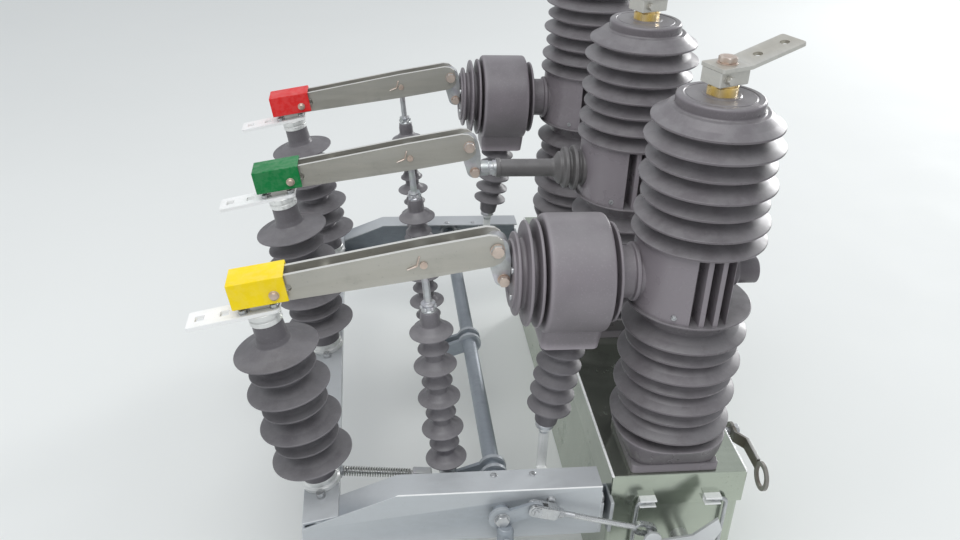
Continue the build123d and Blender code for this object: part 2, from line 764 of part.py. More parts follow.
# Cross member: an inverted channel whose top is square to the posts
with BuildPart() as cross_member:
    inner_y = beam_face - beam_sheet
    left_z = post_foot_height - cross_width / 2 * sin(post_lean)
    right_z = post_foot_height + cross_width / 2 * sin(post_lean)
    floor_z = bottom_z + beam_sheet
    with BuildSketch(Plane(origin=(0, inner_y, 0), x_dir=(1, 0, 0), z_dir=(0, -1, 0))):
        with BuildLine():
            Polyline((cross_left, floor_z), (cross_left, left_z), (cross_right, right_z),
                     (cross_right, floor_z), (cross_right - cross_sheet, floor_z),
                     (cross_right - cross_sheet, right_z - cross_sheet),
                     (cross_left + cross_sheet, left_z - cross_sheet),
                     (cross_left + cross_sheet, floor_z), close=True)
        make_face()
    extrude(amount=2 * inner_y)
save(cross_member.part, "cross_member")

# Brackets between the beams' ends and the box
box_side = box_shift - box_width / 2
for name, outward in {"near": -1, "far": 1}.items():
    with BuildPart() as bracket:
        with BuildSketch(Plane.XY.offset(bottom_z)):
            with BuildLine():
                outer = outward * beam_face
                inner = outward * (beam_face - beam_flange)
                plate = outward * bracket_sheet
                face = box_side + lid_sheet + lid_clearance
                Polyline((beam_near_end, outer), (beam_near_end + bracket_sheet, outer),
                         (beam_near_end + bracket_sheet, inner + plate), (face - bracket_sheet, inner + plate),
                         (face - bracket_sheet, outer), (face, outer), (face, inner), (beam_near_end, inner),
                         close=True)
            make_face()
        extrude(amount=box_height - lid_skirt - bottom_z)
    save(bracket.part, "beam_bracket_" + name)

# Bearings in the beams' webs
with BuildPart() as bearings:
    for outward in (-1, 1):
        with BuildSketch(Plane.XZ.offset(-outward * (beam_face - beam_sheet))):
            with Locations((shaft_x, shaft_height)):
                Circle(bearing_diameter / 2)
                Circle(shaft_diameter / 2 + bearing_clearance, mode=Mode.SUBTRACT)
        extrude(amount=outward * (bearing_thickness - beam_sheet))
        with BuildSketch(Plane.XZ.offset(-outward * (beam_face - beam_sheet))):
            with Locations((shaft_x, shaft_height)):
                Circle(bearing_diameter / 2 - 6)
                Circle(shaft_diameter / 2 + bearing_clearance, mode=Mode.SUBTRACT)
        extrude(amount=-outward * beam_sheet)
save(bearings.part, "shaft_bearings")


# Disconnector shaft: a tube with a double crank at each phase and one arm at the near end
with BuildPart() as shaft:
    with BuildSketch(Plane.XZ.offset(rod_plane + lever_arm_sheet / 2)):
        with Locations((shaft_x, shaft_height)):
            Circle(shaft_diameter / 2)
    extrude(amount=-(rod_plane + lever_arm_sheet / 2 + beam_face + 8))
    for y in phases.values():
        for side in (-1, 1):
            inner = y + side * (eye_thickness / 2 + side_clearance)
            with BuildSketch(side_plane(shaft_x, inner, shaft_height, crank_angle)):
                Circle(crank_hub_radius)
                with Locations((crank_radius, 0)):
                    Circle(crank_end_radius)
                with Locations((crank_radius / 2, 0)):
                    Rectangle(crank_radius, 2 * crank_end_radius)
            extrude(amount=-side * crank_sheet)
        with BuildSketch(side_plane(crank_pin_x, y, crank_pin_z)):
            Circle(crank_pin_diameter / 2)
        extrude(amount=eye_thickness / 2 + side_clearance + crank_sheet + 4, both=True)
    with BuildSketch(side_plane(shaft_x, -rod_plane + lever_arm_sheet / 2, shaft_height, lever_arm_angle)):
        Circle(crank_hub_radius - 2)
        with Locations((lever_arm_radius, 0)):
            Circle(lever_arm_end_radius)
        with Locations((lever_arm_radius / 2, 0)):
            Rectangle(lever_arm_radius, 2 * lever_arm_end_radius)
        with Locations((lever_arm_radius, 0)):
            Circle(lever_pin_diameter / 2 + pin_clearance, mode=Mode.SUBTRACT)
    extrude(amount=lever_arm_sheet)
save(shaft.part, "isolator_shaft")


# Link rod from the shaft's arm to a slot at the operating lever's pin
slot_middle = link_length - slot_travel / 2
slot_height = lever_pin_diameter + 2 * slot_play
slot_end_height = slot_height + 2 * clevis_wall
with BuildPart() as link_rod:
    with BuildSketch(side_plane(link_pin_x, -rod_plane + clevis_gap / 2 + clevis_wall, link_pin_z, link_slope)):
        with Locations((clevis_length / 2 - lever_arm_end_radius, 0)):
            Rectangle(clevis_length, clevis_width)
    extrude(amount=clevis_gap + 2 * clevis_wall)
    with BuildSketch(side_plane(link_pin_x, -rod_plane + clevis_gap / 2, link_pin_z, link_slope)):
        Rectangle(2 * lever_arm_end_radius + 8, clevis_width)
    extrude(amount=clevis_gap, mode=Mode.SUBTRACT)
    with BuildSketch(side_plane(link_pin_x, -rod_plane, link_pin_z)):
        Circle(lever_pin_diameter / 2)
    extrude(amount=clevis_gap / 2 + clevis_wall, both=True)
    slope = radians(link_slope)
    rod_line = Plane(origin=(link_pin_x, -rod_plane, link_pin_z), x_dir=(0, 1, 0),
                     z_dir=(cos(slope), 0, sin(slope)))
    with BuildSketch(rod_line.offset(clevis_length - lever_arm_end_radius - 1)):
        Circle(link_rod_diameter / 2)
    extrude(amount=link_length - slot_travel - slot_height / 2 - clevis_length + lever_arm_end_radius)
    with BuildSketch(side_plane(link_pin_x, -rod_plane + link_rod_diameter / 2, link_pin_z, link_slope)):
        with Locations((slot_middle, 0)):
            SlotCenterToCenter(slot_travel, slot_end_height)
            SlotCenterToCenter(slot_travel, slot_height, mode=Mode.SUBTRACT)
    extrude(amount=link_rod_diameter)
save(link_rod.part, "link_rod")


# Operating lever: a long flat bar with a hook at its end, its pin beside the pivot and a lobe above it
lever_face = -lever_plane + lever_sheet / 2
with BuildPart() as lever:
    with BuildSketch(side_plane(lever_pivot_x, lever_face, lever_pivot_height, 180 + lever_droop)):
        with BuildLine():
            Polyline((0, lever_width / 2), (lever_length, lever_tip_width / 2),
                     (lever_length, lever_tip_width / 2 + lever_hook - 12),
                     (lever_length + 12, lever_tip_width / 2 + lever_hook - 12),
                     (lever_length + 12, -lever_tip_width / 2 + 8), (lever_length, -lever_tip_width / 2),
                     (0, -lever_width / 2), close=True)
        make_face()
        Circle(lever_width / 2)
    extrude(amount=lever_sheet)
    with BuildSketch(side_plane(0, lever_face, 0)):
        with BuildLine():
            Polyline((lever_pivot_x - lever_plate_reach, lever_pivot_height),
                     (lever_pivot_x, lever_pivot_height - lever_width / 2),
                     (lever_pivot_x + 14, lever_pivot_height),
                     (lever_lobe_x, lever_lobe_height - 20), (lever_lobe_x - 8, lever_lobe_height),
                     (lever_pivot_x - 2, lever_pin_z + 4),
                     (lever_pivot_x - lever_plate_reach, lever_pin_z - 12), close=True)
        make_face()
        with Locations((lever_pin_x, lever_pin_z)):
            Circle(lever_pin_diameter / 2 + 8)
    extrude(amount=lever_sheet)
    with BuildSketch(side_plane(lever_pin_x, lever_face, lever_pin_z)):
        Circle(lever_pin_diameter / 2)
    extrude(amount=-(lever_plane - rod_plane - lever_sheet / 2 + link_rod_diameter / 2 + 3))
    with BuildSketch(side_plane(lever_pivot_x, lever_face, lever_pivot_height)):
        Circle(lever_stud_diameter / 2 + pin_clearance)
    extrude(amount=lever_sheet, mode=Mode.SUBTRACT)
save(lever.part, "operating_lever")

# Stud on the box's near end that carries the operating lever
box_end = -box_length / 2 + lid_sheet + lid_clearance
with BuildPart() as lever_stud:
    with BuildSketch(side_plane(lever_pivot_x, box_end, lever_pivot_height)):
        Circle(lever_stud_diameter / 2)
    extrude(amount=lever_plane + lever_sheet / 2 + side_clearance + box_end)
    with BuildSketch(side_plane(lever_pivot_x, box_end, lever_pivot_height)):
        Circle(lever_stud_diameter / 2 + 6)
    extrude(amount=lever_plane - lever_sheet / 2 - side_clearance + box_end)
    with BuildSketch(side_plane(lever_pivot_x, -lever_plane - lever_sheet / 2 - side_clearance,
                                lever_pivot_height)):
        RegularPolygon(lever_stud_diameter / 2 + 5, 6)
    extrude(amount=8)
save(lever_stud.part, "lever_stud")


# Spring buffer beside the near crank: a seat on the cross member, a coil and an end block
buffer_y = phases["a"] + buffer_offset
buffer_seat = cross_right + pin_clearance
buffer_start = buffer_seat + buffer_seat_thickness / 2
buffer_way = (cos(radians(buffer_dip)), 0, -sin(radians(buffer_dip)))
buffer_plane = Plane(origin=(buffer_start, buffer_y, buffer_height), x_dir=(0, 1, 0), z_dir=buffer_way)
with BuildPart() as buffer:
    with BuildSketch(Plane.YZ.offset(buffer_seat)):
        with Locations((buffer_y, buffer_height)):
            Circle(buffer_seat_radius)
    extrude(amount=buffer_seat_thickness)
    with BuildSketch(buffer_plane):
        Circle(buffer_coil_diameter / 2)
    extrude(amount=buffer_length)
    with BuildSketch(buffer_plane.offset(buffer_length)):
        RectangleRounded(buffer_block, buffer_block, 2)
    extrude(amount=buffer_block_length)
save(buffer.part, "spring_buffer")


# Ring lever on the back of the box
back_face = box_shift + box_width / 2
ring_face = back_face + ring_stand_off
ring_outer_face = ring_face + ring_joggle
ring_y = ring_pivot_y - ring_reach
ring_height = ring_pivot_height - ring_drop
with BuildPart() as ring_lever:
    with BuildSketch(Plane.XY.offset(ring_pivot_height + ring_strap_rise - ring_strap_height / 2)):
        with BuildLine():
            strap = [(ring_face, ring_pivot_y), (ring_face, ring_pivot_y - ring_joggle_start),
                     (ring_outer_face, ring_pivot_y - ring_joggle_end),
                     (ring_outer_face, ring_y + ring_radius - ring_bar / 2)]
            Polyline(*strap, *[(x + ring_lever_sheet, y) for x, y in reversed(strap)], close=True)
        make_face()
    extrude(amount=ring_strap_height)
    with BuildSketch(Plane.YZ.offset(ring_face)):
        with Locations((ring_pivot_y, ring_pivot_height)):
            Circle(ring_hub_radius)
    extrude(amount=ring_lever_sheet)
    with BuildSketch(Plane.YZ.offset(ring_outer_face)):
        with Locations((ring_y, ring_height)):
            Circle(ring_radius)
    extrude(amount=ring_lever_sheet)
    with BuildSketch(Plane.YZ.offset(ring_outer_face)):
        with Locations((ring_y, ring_height)):
            Circle(ring_radius - ring_bar)
    extrude(amount=ring_lever_sheet, mode=Mode.SUBTRACT)
    with BuildSketch(Plane.YZ.offset(ring_face)):
        with Locations((ring_pivot_y, ring_pivot_height)):
            Circle(ring_stud_diameter / 2 + pin_clearance)
    extrude(amount=ring_lever_sheet, mode=Mode.SUBTRACT)
save(ring_lever.part, "ring_lever")

with BuildPart() as ring_stud:
    with BuildSketch(Plane.YZ.offset(back_face)):
        with Locations((ring_pivot_y, ring_pivot_height)):
            Circle(ring_stud_diameter / 2)
    extrude(amount=ring_stand_off + ring_lever_sheet + 2 * side_clearance)
    with BuildSketch(Plane.YZ.offset(ring_face + ring_lever_sheet + side_clearance)):
        with Locations((ring_pivot_y, ring_pivot_height)):
            RegularPolygon(ring_stud_diameter / 2 + 5, 6)
    extrude(amount=7)
save(ring_stud.part, "ring_lever_stud")


# Bail handle that hangs in two brackets on the near end of the box
bail_y = box_end - bail_stand_off
with BuildPart() as bail:
    with BuildLine() as bail_path:
        FilletPolyline((bail_left + bail_bracket_inset, bail_y, bail_height), (bail_left, bail_y, bail_height),
                       (bail_left, bail_y, bail_height - bail_drop), (bail_right, bail_y, bail_height - bail_drop),
                       (bail_right, bail_y, bail_height),
                       (bail_right - bail_bracket_inset, bail_y, bail_height),
                       radius=bail_bend)
    with BuildSketch(Plane(origin=bail_path.line @ 0, z_dir=bail_path.line % 0)):
        Circle(bail_diameter / 2)
    sweep()
save(bail.part, "bail_handle")

with BuildPart() as bail_brackets:
    for x in (bail_left + bail_bracket_inset, bail_right - bail_bracket_inset):
        with BuildSketch(Plane.YZ.offset(x - bail_bracket_width / 2)):
            with BuildLine():
                inside = bail_diameter / 2 + 0.3
                outside = inside + bail_bracket_sheet
                Polyline((box_end, bail_height - outside), (box_end, bail_height - inside),
                         (bail_y - inside, bail_height - inside), (bail_y - inside, bail_height + inside),
                         (box_end, bail_height + inside), (box_end, bail_height + outside),
                         (bail_y - outside, bail_height + outside), (bail_y - outside, bail_height - outside),
                         close=True)
            make_face()
        extrude(amount=bail_bracket_width)
save(bail_brackets.part, "bail_brackets")
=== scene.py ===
import json
from math import acos, atan2, copysign, cos, degrees, hypot, pi, radians, sin, sqrt, tan

import bmesh
import bpy
from bpy.props import FloatProperty, FloatVectorProperty, PointerProperty
from mathutils import Matrix, Vector


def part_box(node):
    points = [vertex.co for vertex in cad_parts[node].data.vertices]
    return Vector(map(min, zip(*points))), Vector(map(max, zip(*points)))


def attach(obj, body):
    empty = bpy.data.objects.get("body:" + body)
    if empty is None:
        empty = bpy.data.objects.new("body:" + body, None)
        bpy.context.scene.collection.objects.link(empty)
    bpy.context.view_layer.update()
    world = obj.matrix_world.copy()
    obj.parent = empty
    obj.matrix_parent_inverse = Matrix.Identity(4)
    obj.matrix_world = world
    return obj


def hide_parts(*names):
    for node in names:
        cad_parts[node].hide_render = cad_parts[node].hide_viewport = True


bl_info = {
    "name": "Outdoor vacuum circuit breaker",
    "version": (1, 0, 0),
    "blender": (4, 5, 0),
    "location": "3D View > Sidebar > Breaker",
    "description": "Dresses the solids of a three-phase outdoor vacuum circuit breaker with disconnector",
    "category": "Object",
}

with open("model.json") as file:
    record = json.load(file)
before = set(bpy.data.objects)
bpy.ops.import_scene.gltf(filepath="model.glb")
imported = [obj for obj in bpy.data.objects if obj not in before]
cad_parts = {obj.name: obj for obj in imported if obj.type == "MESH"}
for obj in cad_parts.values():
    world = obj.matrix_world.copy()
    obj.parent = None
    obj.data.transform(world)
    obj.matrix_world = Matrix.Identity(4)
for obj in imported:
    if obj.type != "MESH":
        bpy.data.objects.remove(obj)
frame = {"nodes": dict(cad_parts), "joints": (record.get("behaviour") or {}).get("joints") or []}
nodes = frame["nodes"]
pivots = {joint["name"]: Vector(joint["pos_m"]) * 1000 for joint in frame["joints"]}

# Sizes below are in millimetres and the pieces are scaled to metres when they are kept.
MM = 0.001
PHASES = {"a": -340.0, "b": 0.0, "c": 340.0}
POLE_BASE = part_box("pole_column_b")[0].z * 1000
# Heights on a pole above its base: the belt under the housing, the upper sheds, the cap
BELT, UPPER_SHEDS, CAP_TOP = 244.5, 342.9, 523.7
ARM_HEIGHT = POLE_BASE + 286.5
# The transformer's foot: its middle and its drop under the arm
TAIL_X, TAIL_DROP = -159.3, 97
SUPPORT_X, SUPPORT_TOP_X = -176.0, -160.0
BLADE_SLOPE = 10.5
# The drive pin: its distance along the blade and its drop under the blade's middle line
DRIVE_PIN_REACH, DRIVE_PIN_DROP = 93, 2
HINGE_BOLT_X, HINGE_BOLT_Z = -248.5, 514
POST_FOOT_X, POST_FOOT_Z, POST_TILT, POST_LENGTH = -487.4, 188.4, 12.5, 290.9
BEAM_TOP, BEAM_FACE = 227.3, 421.8
BOX_LEFT, BOX_RIGHT, BOX_END, BOX_TOP = -89, 105, 406.5, 230
BAIL_Y, BAIL_TOP = -412.6, 187
HINGE = pivots["blade_b_turn"]
CRANK_PIN = pivots["drive_b_turn"]
SHAFT = pivots["shaft_turn"]
LINK_PIN = pivots["link_turn"]
LEVER_PIVOT = pivots["lever_turn"]
LEVER_PIN_RADIUS, LEVER_PIN_ANGLE = 73.7, 142
RING_PIVOT = pivots["ring_turn"]


def shade(red, green, blue):
    """A colour given in screen values, as the shader's linear values."""
    shares = (red / 255, green / 255, blue / 255)
    return tuple(c / 12.92 if c <= 10 / 255 else ((c + 0.055) / 1.055) ** 2.4 for c in shares)


# Settings

SHARE = {"size": 3, "min": 0, "max": 1}


class BreakerCasting(bpy.types.PropertyGroup):
    """Cast resin and silicone parts."""

    # The transformers take this colour lightened 1.5 times: painted light, as if they stood in more light.
    epoxy: FloatVectorProperty(
        name="Cast epoxy", description="Colour of the poles and transformers",
        default=shade(101, 96, 100), subtype="COLOR", **SHARE)
    silicone: FloatVectorProperty(
        name="Silicone", description="Colour of the post and drive insulators",
        default=shade(100, 97, 101), subtype="COLOR", **SHARE)
    dust: FloatVectorProperty(
        name="Dust", description="Colour of the dust that lies on the sheds",
        default=shade(142, 141, 142), subtype="COLOR", **SHARE)
    arm: FloatVectorProperty(
        name="Plain arm", description="Colour of the middle phase's conductor arm",
        default=shade(96, 94, 94), subtype="COLOR", **SHARE)
    rim: FloatProperty(
        name="Shed rim", description="Rounding of a shed's rim",
        default=0.0013, max=0.0015, min=0.0002, subtype="DISTANCE", unit="LENGTH")


class BreakerMetal(bpy.types.PropertyGroup):
    """Sheet metal, bars and fasteners."""

    box: FloatVectorProperty(
        name="Box sheet", description="Colour of the mechanism box",
        default=shade(176, 183, 170), subtype="COLOR", **SHARE)
    beam: FloatVectorProperty(
        name="Beam paint", description="Colour of the beams and the shaft",
        default=shade(146, 153, 160), subtype="COLOR", **SHARE)
    plate: FloatVectorProperty(
        name="Tin plate", description="Colour of the blades and top terminals",
        default=shade(164, 160, 149), subtype="COLOR", **SHARE)
    # The load pads are tin plate like the blades. This near-white colour, used with no metal, is a painted
    # highlight.
    pad: FloatVectorProperty(
        name="Load pads", description="Colour of the load terminals",
        default=shade(253, 253, 250), subtype="COLOR", **SHARE)
    zinc: FloatVectorProperty(
        name="Zinc", description="Colour of the plated levers and fasteners",
        default=shade(190, 192, 194), subtype="COLOR", **SHARE)
    brass: FloatVectorProperty(
        name="Brass", description="Colour of the studs on the poles",
        default=shade(244, 208, 118), subtype="COLOR", **SHARE)
    fold: FloatProperty(
        name="Fold radius", description="Rounding of folded sheet",
        default=0.0009, max=0.002, min=0.0002, subtype="DISTANCE", unit="LENGTH")


class BreakerPhases(bpy.types.PropertyGroup):
    """Colours of the contact covers."""

    near: FloatVectorProperty(
        name="Near phase", description="Cover of the near phase",
        default=shade(252, 220, 8), subtype="COLOR", **SHARE)
    middle: FloatVectorProperty(
        name="Middle phase", description="Cover of the middle phase",
        default=shade(4, 124, 62), subtype="COLOR", **SHARE)
    far: FloatVectorProperty(
        name="Far phase", description="Cover of the far phase",
        default=shade(224, 40, 40), subtype="COLOR", **SHARE)


class BreakerStage(bpy.types.PropertyGroup):
    """Floor and light."""

    floor: FloatVectorProperty(
        name="Floor", description="Colour of the floor",
        default=shade(232, 234, 232), subtype="COLOR", **SHARE)
    window: FloatProperty(
        name="Window light", description="Power of the light behind the poles",
        default=60, max=400, min=0, subtype="POWER", unit="POWER")
    lamp: FloatProperty(
        name="Ceiling light", description="Power of the soft light above",
        default=40, max=200, min=0, subtype="POWER", unit="POWER")


# Outlines and places


def place(origin, x_dir, z_dir):
    """Local axes in the frame: local X along x_dir, local Z along z_dir."""
    across = Vector(x_dir).normalized()
    out = Vector(z_dir).normalized()
    matrix = Matrix((across, out.cross(across), out)).transposed().to_4x4()
    matrix.translation = Vector(origin)
    return matrix


def upright(x, y, z, way=1):
    """A place facing up, or down with the way -1."""
    return place((x, y, z), (1, 0, 0), (0, 0, way))


def along_row(x, y, z, way):
    """A place facing along the row of poles: away with the way 1, near with -1."""
    return place((x, y, z), (1, 0, 0), (0, way, 0))


def across_row(x, y, z, way):
    """A place facing the back of the box with the way 1, the disconnector with -1."""
    return place((x, y, z), (0, 1, 0), (way, 0, 0))


def moved(where, x, y, z):
    """The same place moved in its own axes."""
    return where @ Matrix.Translation((x, y, z))


def leaning(x, y, z, tilt):
    """A place whose local Z leans from up towards -X."""
    lean = radians(tilt)
    return place((x, y, z), (cos(lean), 0, sin(lean)), (-sin(lean), 0, cos(lean)))


def facing_near(x, y, z, turn=0.0):
    """A place facing -Y, its local X at an angle in the XZ plane."""
    angle = radians(turn)
    return place((x, y, z), (cos(angle), 0, sin(angle)), (0, -1, 0))


def arc_corner(before, corner, after, radius, steps):
    """Points of the arc that rounds one corner."""
    corner = Vector(corner)
    back, ahead = Vector(before) - corner, Vector(after) - corner
    angle = back.angle(ahead, pi)
    if radius <= 0 or angle > pi - 0.03 or angle < 0.03:
        return [corner]
    reach = min(radius / tan(angle / 2), 0.48 * back.length, 0.48 * ahead.length)
    start, end = corner + back.normalized() * reach, corner + ahead.normalized() * reach
    middle = corner + (back.normalized() + ahead.normalized()).normalized() * (reach / cos(angle / 2))
    first, last = start - middle, end - middle
    turn = first.angle(last, 0)
    return [middle + (first * sin((1 - step / steps) * turn) + last * sin(step / steps * turn)) / sin(turn)
            for step in range(steps + 1)]


def rounded(points, steps=3, closed=False):
    """An outline of (x, y, corner radius) with its corners turned into arcs."""
    outline = []
    for index, point in enumerate(points):
        at_end = not closed and index in (0, len(points) - 1)
        if len(point) < 3 or point[2] <= 0 or at_end:
            outline.append((point[0], point[1]))
        else:
            before, after = points[index - 1][:2], points[(index + 1) % len(points)][:2]
            outline += [tuple(p) for p in arc_corner(before, point[:2], after, point[2], steps)]
    return outline


def eased_path(points, radius, steps=5):
    """A path in space with its corners turned into arcs."""
    path = [Vector(points[0])]
    for before, corner, after in zip(points, points[1:], points[2:]):
        path += arc_corner(before, corner, after, radius, steps)
    return path + [Vector(points[-1])]


def circle(radius, x=0.0, y=0.0, count=24):
    return [(x + radius * cos(2 * pi * i / count), y + radius * sin(2 * pi * i / count)) for i in range(count)]


def slot_outline(length, radius, x, count):
    """A slot with round ends along local X."""
    right = [(x + length / 2 + radius * cos(a), radius * sin(a))
             for a in (pi * (i / count - 0.5) for i in range(count + 1))]
    return right + [(2 * x - px, -py) for px, py in right]


def sheds(core, first, pitch, radii, rise, thick, rim, hollow=0.42):
    """Outline of a row of sheds: a flat underside, a rounded rim and a slightly hollow top."""
    points = []
    for index, radius in enumerate(radii):
        height = first + index * pitch
        middle = core + 0.5 * (radius - core)
        points += [(core, height + thick, 2.0), (radius, height, rim * 0.7), (radius, height + thick, rim),
                   (middle, height + thick + hollow * (rise - thick), 14.0), (core, height + rise, 3.0)]
    return points


def squircle(half, power, count=96):
    """An outline between a circle, with the power 2, and a square, with a high one."""

    def pulled(part):
        return half * copysign(abs(part) ** (2 / power), part)

    return [(pulled(cos(a)), pulled(sin(a))) for a in (2 * pi * (i + 0.5) / count for i in range(count))]


def oblong(half_x, half_y, corner, steps=6):
    """A rounded rectangle."""
    points = []
    for quarter, (sx, sy) in enumerate(((1, 1), (-1, 1), (-1, -1), (1, -1))):
        for step in range(steps + 1):
            angle = (quarter + step / steps) * pi / 2
            points.append((sx * (half_x - corner) + corner * cos(angle),
                           sy * (half_y - corner) + corner * sin(angle)))
    return points


# Mesh builders, in millimetres


def ring_of(shape, where, outline, height):
    """Vertices of an outline at a height over a place."""
    return [shape.verts.new(where @ Vector((x, y, height))) for x, y in outline]


def bridged(shape, rings, closed=True):
    """Joins rings of one count, or single points, and closes the first and the last."""
    for low, high in zip(rings, rings[1:]):
        count = max(len(low), len(high))
        for i in range(count):
            j = (i + 1) % count
            corners = (low[i % len(low)], low[j % len(low)], high[j % len(high)], high[i % len(high)])
            face = list(dict.fromkeys(corners))
            if len(face) > 2:
                shape.faces.new(face)
    if closed:
        shape.faces.new(list(reversed(rings[0])))
        shape.faces.new(rings[-1])


def turned(shape, points, where, count=64, steps=3):
    """Turns an outline of (radius, height, corner radius) about the place's local Z."""
    bridged(shape, [ring_of(shape, where, circle(radius, count=count) if radius > MM else [(0, 0)], height)
                    for radius, height in rounded(points, steps)], False)


def stacked(shape, sections, where):
    """A closed block through outlines of one count, given as (height, outline)."""
    bridged(shape, [ring_of(shape, where, outline, height) for height, outline in sections])


def lofted(shape, sections, where, steps=6):
    """A closed block through rounded rectangles given as (height, half x, half y, corner)."""
    stacked(shape, [(row[0], oblong(*row[1:], steps)) for row in sections], where)


def soften(shape, width, segments=2, angle=35, upright_only=False):
    """Breaks the sharp edges."""
    sharp = []
    for edge in shape.edges:
        if len(edge.link_faces) != 2 or edge.calc_face_angle(0) < radians(angle):
            continue
        along = (edge.verts[1].co - edge.verts[0].co).normalized()
        if not upright_only or abs(along.z) > 0.99:
            sharp.append(edge)
    if sharp and width > 0:
        bmesh.ops.bevel(shape, geom=sharp, offset=width, offset_type="OFFSET", segments=segments,
                        profile=0.5, affect="EDGES", clamp_overlap=True)


def joined(shape, part):
    """Adds one bmesh to another."""
    mesh = bpy.data.meshes.new("joint")
    part.to_mesh(mesh)
    part.free()
    shape.from_mesh(mesh)
    bpy.data.meshes.remove(mesh)


def sheet(shape, outlines, where, low, high, edge=0.6, upright_only=False):
    """A flat piece: the first outline is its edge and the others are holes."""
    part = bmesh.new()
    rims = []
    for outline in outlines:
        verts = [part.verts.new((x, y, low)) for x, y in outline]
        rims += [part.edges.new((verts[i - 1], verts[i])) for i in range(len(verts))]
    borders = [tuple(e.verts) for e in rims]
    bmesh.ops.triangle_fill(part, use_beauty=True, use_dissolve=False, edges=rims)
    faces = list(part.faces)
    upper = {v: part.verts.new((v.co.x, v.co.y, high)) for v in list(part.verts)}
    for face in faces:
        part.faces.new([upper[v] for v in face.verts])
    for a, b in borders:
        part.faces.new((a, b, upper[b], upper[a]))
    bmesh.ops.recalc_face_normals(part, faces=part.faces)
    bmesh.ops.dissolve_limit(part, angle_limit=radians(0.5), verts=part.verts, edges=part.edges)
    soften(part, edge, 2, 35, upright_only)
    bmesh.ops.transform(part, matrix=where, verts=part.verts)
    joined(shape, part)


def rod(shape, path, radius, count=16, round_end=0.6):
    """A round rod along a path in space, its ends slightly rounded."""
    path = [Vector(p) for p in path]
    ways = [(b - a).normalized() for a, b in zip(path, path[1:])]
    ways = [ways[0]] + [(a + b).normalized() for a, b in zip(ways, ways[1:])] + [ways[-1]]
    tip = min(round_end, radius * 0.8)
    stops = [(path[0], ways[0], radius - tip), (path[0] + ways[0] * tip, ways[0], radius)]
    stops += [(point, way, radius) for point, way in zip(path[1:-1], ways[1:-1])]
    stops += [(path[-1] - ways[-1] * tip, ways[-1], radius), (path[-1], ways[-1], radius - tip)]
    side = ways[0].orthogonal()
    rings = []
    for point, way, size in stops:
        side = (side - way * side.dot(way)).normalized()
        other = way.cross(side)
        rings.append([shape.verts.new(point + side * x + other * y) for x, y in circle(size, count=count)])
    bridged(shape, rings)


def hexagon(shape, where, across, low, high, chamfer=0.8):
    """A hexagon head or nut whose corners are turned off at both faces."""
    flat, corner = across / 2, across / sqrt(3)
    turns = [2 * pi * i / 24 for i in range(24)]
    rings = []
    for height, limit in ((low, flat), (low + chamfer, corner), (high - chamfer, corner), (high, flat)):
        reaches = [min(flat / cos(a % (pi / 3) - pi / 6), limit) for a in turns]
        rings.append(ring_of(shape, where, [(r * cos(a), r * sin(a)) for a, r in zip(turns, reaches)], height))
    bridged(shape, rings)


def washer(shape, where, radius, low, high):
    turned(shape, [(0, low), (radius, low, 0.3), (radius, high, 0.4), (0, high)], where, 28, 2)


def round_head(shape, where, radius, low, high, ease, count=24):
    """The rounded end of a pin, a rivet or a stud."""
    turned(shape, [(0, low), (radius, low), (radius, high, ease), (0, high)], where, count, 2)


def thread(shape, where, radius, low, high, pitch=1.5):
    """The end of a screw, with its ridges and a chamfered tip."""
    outline = [(0, low), (radius, low)]
    height = low
    while height + pitch < high - 0.8:
        outline += [(radius, height), (radius - 0.5, height + pitch * 0.5)]
        height += pitch
    outline += [(radius, height), (radius, high - 0.8), (radius - 0.8, high), (0, high)]
    turned(shape, outline, where, 20)


def bolt(shape, where, across, head):
    """A washer, a spring washer and a hexagon head, standing on the place."""
    washer(shape, where, across * 0.62, 0, 1.4)
    washer(shape, where, across * 0.47, 1.4, 2.9)
    hexagon(shape, where, across, 2.9, 2.9 + head)


def eased(node, edge, angle=30, segments=2):
    """A copy of a solid's mesh with its sharp edges broken."""
    shape = bmesh.new()
    shape.from_mesh(nodes[node].data)
    bmesh.ops.scale(shape, vec=(1000, 1000, 1000), verts=shape.verts)
    bmesh.ops.remove_doubles(shape, verts=shape.verts, dist=0.003)
    bmesh.ops.dissolve_limit(shape, angle_limit=radians(0.5), verts=shape.verts, edges=shape.edges)
    bmesh.ops.recalc_face_normals(shape, faces=shape.faces)
    soften(shape, edge, segments, angle)
    return shape


def keep(name, shape, look, node="", body="frame"):
    """Turns a bmesh in millimetres into a piece that rides on one body and may replace a node."""
    mesh = bpy.data.meshes.new(name)
    shape.to_mesh(mesh)
    shape.free()
    mesh.transform(Matrix.Scale(MM, 4))
    mesh.shade_smooth()
    mesh.set_sharp_from_angle(angle=radians(35))
    mesh.materials.append(finish(look))
    piece = bpy.data.objects.new(name, mesh)
    bpy.context.scene.collection.objects.link(piece)
    flat = piece.modifiers.new("flat faces", "WEIGHTED_NORMAL")
    flat.keep_sharp = True
    flat.weight = 100
    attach(piece, body)
    if node:
        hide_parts(node)


def keep_on_phases(name, shape, look, node="", phases="abc", body="frame"):
    """Keeps a copy of a piece made on the middle phase for each phase that has it."""
    for phase in phases:
        copy = shape.copy()
        bmesh.ops.translate(copy, verts=copy.verts, vec=(0, PHASES[phase], 0))
        keep(name + "_" + phase, copy, look, node and node + "_" + phase, body.replace("*", phase))
    shape.free()


# Finishes


